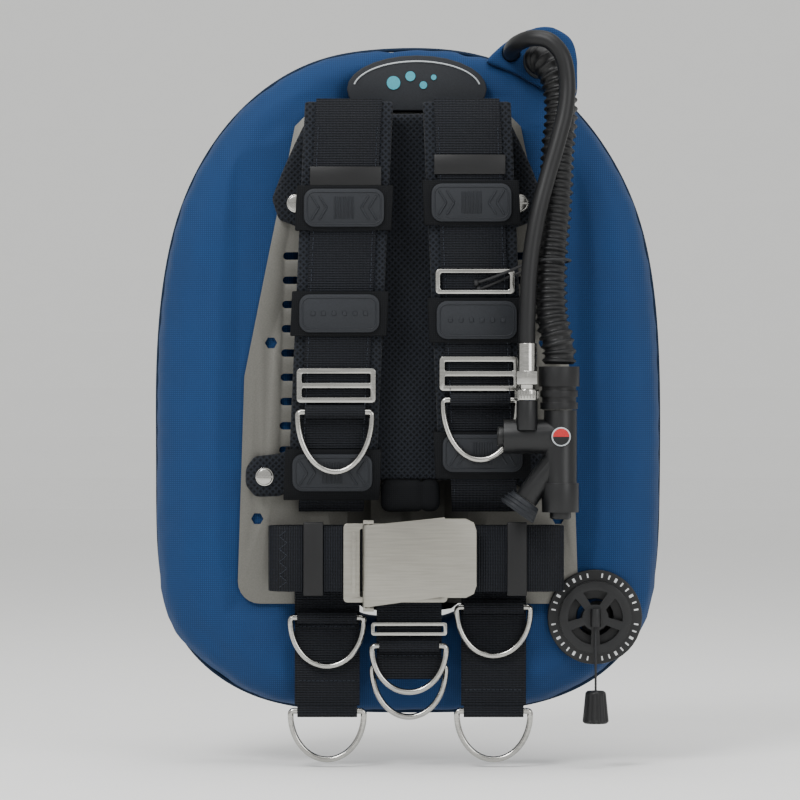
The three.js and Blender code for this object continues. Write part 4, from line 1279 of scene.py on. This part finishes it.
@dataclass
class Inflator:
    """The corrugated hose with its cuff, the inflator with its buttons, and the low-pressure hose."""

    rib_pitch_mm: float = 6.5
    rib_depth_mm: float = 2.3
    hose_radius_mm: float = 13.0
    lp_radius_mm: float = 6.25
    hose_mm: tuple[tuple[float, float, float], ...] = (
        (103, -33, 229), (103, -40, 229), (106, -50, 227), (111, -57, 219), (115, -61, 207),
        (116.5, -64, 192), (116, -67, 175), (114, -70, 158), (112, -77, 118), (108, -84, 72),
        (108, -89, 35), (112, -92.5, 14), (114, -93, 4), (114, -93, -6))
    lp_mm: tuple[tuple[float, float, float], ...] = (
        (80, 60, 20), (80, 60, 60), (80, 60, 110), (80, 60, 170), (80, 58, 205), (80, 48, 228),
        (80, 32, 235.5), (80, 10, 235.5), (80, -20, 235.5), (80, -42, 236.5), (84, -62, 239),
        (94, -76, 241.5), (107, -82, 239), (117, -84.5, 227), (120.5, -85.5, 208), (119, -88, 186),
        (113, -91, 162), (106, -93.5, 138),
        (99, -97, 112), (94, -99, 86), (91, -100.5, 60), (90, -101.7, 36), (89.5, -102, 22), (89.5, -102, 10))
    rib_steps: int = 10                 # places along each rib of the corrugated hose
    knurls: int = 24
    button_rings_mm: tuple[float, ...] = (2.2, 4.4, 6.2)
    mouth_rings_mm: tuple[tuple[float, float], ...] = ((-3.6, 12.9), (-0.6, 13.7), (2.4, 14.5))
    mouth_lean: float = 0.62            # how far the mouthpiece leans from hanging straight down, in radians

    def build(self) -> None:
        """Makes the hoses, the inflator and its fittings."""
        self.corrugated()
        self.low_pressure()
        softened("hose_elbow", MOULDED_RUBBER, 1.2)
        softened("hose_cuff", HOSE_RUBBER, 0.7)
        softened("inflator_body", BODY_PLASTIC, 1.1)
        softened("lp_ferrule", POLISHED, 0.6)
        self.sleeve()
        self.buttons()
        self.mouthpiece()
        self.badge()

    def corrugated(self) -> None:
        """Makes the breathing hose as a swept tube with rounded ribs."""
        route = [Vector(p) * MM for p in self.hose_mm]
        places = smooth_route(route, self.rib_pitch_mm / self.rib_steps * MM)
        turn = 2 * math.pi / self.rib_steps

        def radius(i: int) -> float:
            """Gives the hose's radius at one of its places.

            Args:
                i: The number of the place.

            Returns:
                The radius in metres, largest on a rib's crown.
            """
            groove = (0.5 - 0.5 * math.cos(turn * i)) ** 1.8
            return (self.hose_radius_mm - self.rib_depth_mm * (1 - groove)) * MM
        tube = sweep("hose", places, radius, 36)
        hose = dress(tube, "corrugated_hose_ribs", ROOT, HOSE_RUBBER, ["corrugated_hose"], 80)

    def low_pressure(self) -> None:
        """Makes the low-pressure hose, declared from its ferrule to its first-stage end."""
        places = smooth_route([Vector(p) * MM for p in self.lp_mm], 0.002)[::-1]
        tube = sweep("lp", places, lambda i: self.lp_radius_mm * MM, 24)
        hose = dress(tube, "lp_hose_rubber", ROOT, HOSE_RUBBER, ["lp_hose"], 80)
        end = softened("lp_hose_end", POLISHED, 0.5)

    def sleeve(self) -> None:
        """Makes the coupler's sliding sleeve with knurled grip ribs."""
        low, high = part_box("lp_coupler_sleeve")
        middle = (low + high) / 2
        reach = (high.x - low.x) / 2
        sleeve = copied("lp_coupler_sleeve")
        bevel(sleeve, 0.5, 2, 50)
        sunk = 0.0003
        ribs = [round_bar(0.5, 5.6, spot, "Z", 8)
                for spot in circle(middle, *AXES[:2], reach - sunk, self.knurls)]
        dress(merged([sleeve, *ribs]), "coupler_sleeve_knurled", "lp_coupler_sleeve", POLISHED,
              ["lp_coupler_sleeve"])

    def buttons(self) -> None:
        """Makes the two buttons, each with raised rings on its face."""
        for node, axis in (("inflate_button", "X"), ("exhaust_button", "Z")):
            low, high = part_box(node)
            middle = (low + high) / 2
            index = "XYZ".index(axis)
            radius = (high.y - low.y) / 2 / MM
            length = (high[index] - low[index]) / MM
            button = round_bar(radius, length, middle, axis, 40)
            bevel(button, 1.0, 3)
            face = middle.copy()
            face[index] = low[index]
            one, other = AXES[(index + 1) % 3], AXES[(index + 2) % 3]
            rings = [sweep("ring", circle(face, one, other, size * MM, 32), lambda i: 0.45 * MM, 8, True)
                     for size in self.button_rings_mm]
            dress(merged([button, *rings]), node + "_rings", node, BODY_PLASTIC, [node])

    def mouthpiece(self) -> None:
        """Makes the mouthpiece with ridges round it."""
        mouth = copied("mouthpiece")
        bevel(mouth, 1.2, 3, 40)
        low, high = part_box("mouthpiece")
        centre = (low + high) / 2
        along = Vector((-math.sin(self.mouth_lean), 0, -math.cos(self.mouth_lean)))
        side = along.cross(AXES[1]).normalized()
        rings = [sweep("ring", circle(centre + along * shift * MM, side, AXES[1], size * MM, 40),
                       lambda i: 0.7 * MM, 8, True) for shift, size in self.mouth_rings_mm]
        dress(merged([mouth, *rings]), "mouthpiece_ridged", ROOT, MOULDED_RUBBER, ["mouthpiece"])

    def badge(self) -> None:
        """Makes the round badge: a silver rim, a red half disc and a black half disc."""
        low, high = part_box("badge")
        middle = (low + high) / 2
        radius = (high.x - low.x) / 2 / MM
        rim = round_bar(radius, 2.0, middle, "Y", 40)
        bevel(rim, 0.4, 2)
        dress(rim, "badge_rim", ROOT, BADGE_SILVER, ["badge"])
        for name, share, finish in (("badge_red", 1, BADGE_RED), ("badge_black", -1, BODY_PLASTIC)):
            disc = round_bar(radius - 1.0, 0.6, Vector((middle.x, low.y - 0.0001, middle.z)), "Y", 40)
            half = slab(Vector((middle.x, low.y, middle.z - share * 0.02)), (40, 6, 40), 0.1, 1)
            cut_with(disc, half)
            dress(disc, name, ROOT, finish)


@dataclass
class DumpValve:
    """The rear dump valve: ring of ticks, spoked cap, poppet, braided cord and fluted toggle."""

    ticks: int = 36
    flutes: int = 14
    flute_depth: float = 0.055          # as a share of the grip's radius
    waist: float = 0.24                 # how much narrower the grip is at its top
    end_round: float = 0.08             # the rounded share of its height at each end

    def build(self) -> None:
        """Makes every piece of the valve."""
        softened("dump_valve_body", BODY_PLASTIC, 0.9)
        softened("dump_valve_cap", BODY_PLASTIC, 0.8)
        softened("dump_poppet", HOSE_RUBBER, 0.6)
        self.tick_ring()
        self.cord()
        self.toggle()

    def tick_ring(self) -> None:
        """Prints a ring of plain ticks on the flange."""
        low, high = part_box("dump_valve_body")
        cap_low, cap_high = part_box("dump_valve_cap")
        centre = Vector(((low.x + high.x) / 2, low.y, (low.z + high.z) / 2))
        radius = ((high.x - low.x) / 2 + (cap_high.x - cap_low.x) / 2) / 2
        ticks = []
        for i in range(self.ticks):
            if i % 9 == 0:
                continue
            angle = 2 * math.pi * i / self.ticks
            tick = slab(Vector((0, 0, 0)), (1.2 if i % 3 else 2.0, 0.3, 3.4), 0.1, 1)
            tick.rotation_euler = (0, angle, 0)
            tick.location = centre + Vector((math.sin(angle) * radius, -0.0001, math.cos(angle) * radius))
            settle(tick)
            ticks.append(tick)
        dress(merged(ticks), "valve_ticks", ROOT, TICK_WHITE)

    def cord(self) -> None:
        """Makes the braided pull cord."""
        low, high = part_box("pull_cord")
        x, y, radius = (low.x + high.x) / 2, (low.y + high.y) / 2, (high.y - low.y) / 2
        places = [Vector((x, y, high.z + (low.z - high.z) * i / 80)) for i in range(81)]
        strand = sweep("cord", places, lambda i: radius * (1 + 0.06 * math.sin(i * 1.9)), 14)
        dress(strand, "pull_cord_braid", NODE_BODY["pull_cord"], BRAID, ["pull_cord"], 80)

    def toggle(self) -> None:
        """Makes the toggle as a fluted, waisted grip."""
        low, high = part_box("pull_toggle")
        x, y = (low.x + high.x) / 2, (low.y + high.y) / 2
        foot, height, rows, sides = (high.x - low.x) / 2, high.z - low.z, 28, self.flutes * 8
        points, faces = [], []
        for j in range(rows + 1):
            share = j / rows
            beyond = max(0.0, abs(share - 0.5) - (0.5 - self.end_round)) / self.end_round
            width = foot * (1 - self.waist * share) * math.sqrt(max(0.0, 1 - beyond ** 2 * 0.35))
            for k in range(sides):
                angle = 2 * math.pi * k / sides
                groove = (0.5 - 0.5 * math.cos(angle * self.flutes)) * (0.1 < share < 0.9)
                flute = 1 - self.flute_depth * groove
                points.append((x + width * flute * math.cos(angle), y + width * flute * math.sin(angle),
                               low.z + height * share))
        faces += [[j * sides + k, j * sides + (k + 1) % sides, (j + 1) * sides + (k + 1) % sides,
                   (j + 1) * sides + k] for j in range(rows) for k in range(sides)]
        faces += [list(range(sides))[::-1], list(range(rows * sides, (rows + 1) * sides))]
        grip = mesh_object("toggle", points, faces)
        dress(grip, "pull_toggle_fluted", NODE_BODY["pull_toggle"], HOSE_RUBBER, ["pull_toggle"], 35)


@dataclass
class Studio:
    """The camera straight in front, a pale floor and backdrop, and soft lights."""

    distance: float = 3.0
    lens_mm: float = 180.0
    sensor_mm: float = 36.0
    floor_gap: float = 0.004
    aim: tuple[float, float] = (-0.006, -0.033)
    sky: str = "f4f4f3"
    sky_strength: float = 0.85
    lamps: tuple[tuple[str, tuple[float, float, float], float, float], ...] = (     # name, place, watts, side
        ("key", (-1.1, -2.0, 1.9), 58.0, 1.0), ("fill", (1.6, -2.0, 0.8), 20.0, 1.2),
        ("top", (0.1, -0.4, 2.2), 30.0, 1.6))
    floor_start: float = 5.0
    floor_bend: float = 1.5
    floor_reach: float = 9.0
    wall_height: float = 5.0
    bend_steps: int = 12

    def build(self) -> None:
        """Makes the stage, the lights and the camera."""
        low, _ = CAD_BOX
        self.backdrop(Vector(low).z - self.floor_gap)
        target = Vector((self.aim[0], low[1], self.aim[1]))
        camera_data = bpy.data.cameras.new("camera")
        camera_data.lens, camera_data.sensor_width = self.lens_mm, self.sensor_mm
        camera = linked("camera", camera_data)
        camera.location = target + Vector((0, -self.distance, 0.0))
        camera.rotation_euler = (math.pi / 2, 0, 0)
        bpy.context.scene.camera = camera
        for name, place, power, size in self.lamps:
            self.light(name, Vector(place), target, power, size)
        world = bpy.data.worlds.new("studio_white")
        world.use_nodes = True
        background = world.node_tree.nodes["Background"]
        background.inputs["Color"].default_value = linear(self.sky)
        background.inputs["Strength"].default_value = self.sky_strength
        bpy.context.scene.world = world

    def light(self, name: str, place: Vector, target: Vector, power: float, size: float) -> None:
        """Adds one soft area light that faces the object.

        Args:
            name: The light's name.
            place: Where it stands.
            target: What it faces.
            power: Its power in watts.
            size: Its side in metres.
        """
        data = bpy.data.lights.new(name, "AREA")
        data.energy, data.size = power, size
        lamp = linked(name, data)
        lamp.location = place
        lamp.rotation_euler = (target - place).to_track_quat("-Z", "Y").to_euler()

    def backdrop(self, floor: float) -> None:
        """Makes the floor, curved up behind into a backdrop.

        Args:
            floor: The floor's height.
        """
        start, bend, reach = self.floor_start, self.floor_bend, self.floor_reach
        turns = [math.pi / 2 * k / self.bend_steps for k in range(1, self.bend_steps + 1)]
        profile = [(-reach, floor), (start, floor)]
        profile += [(start + bend * math.sin(a), floor + bend * (1 - math.cos(a))) for a in turns]
        profile.append((start + bend, floor + self.wall_height))
        points = [(x, y, z) for y, z in profile for x in (-reach, reach)]
        faces = [[2 * i, 2 * i + 1, 2 * i + 3, 2 * i + 2] for i in range(len(profile) - 1)]
        mesh = bpy.data.meshes.new("studio_floor")
        mesh.from_pydata(points, [], faces)
        sweep_floor = linked("studio_floor", mesh)
        mesh.materials.append(FLOOR.build())


def main() -> None:
    Wing().build()
    Plate().build()
    ShoulderStrap("left", 137.0).build()
    ShoulderStrap("right", 146.0).build()
    Harness().build()
    Bungee().build()
    Inflator().build()
    DumpValve().build()
    Studio().build()


if __name__ == "__main__":
    main()
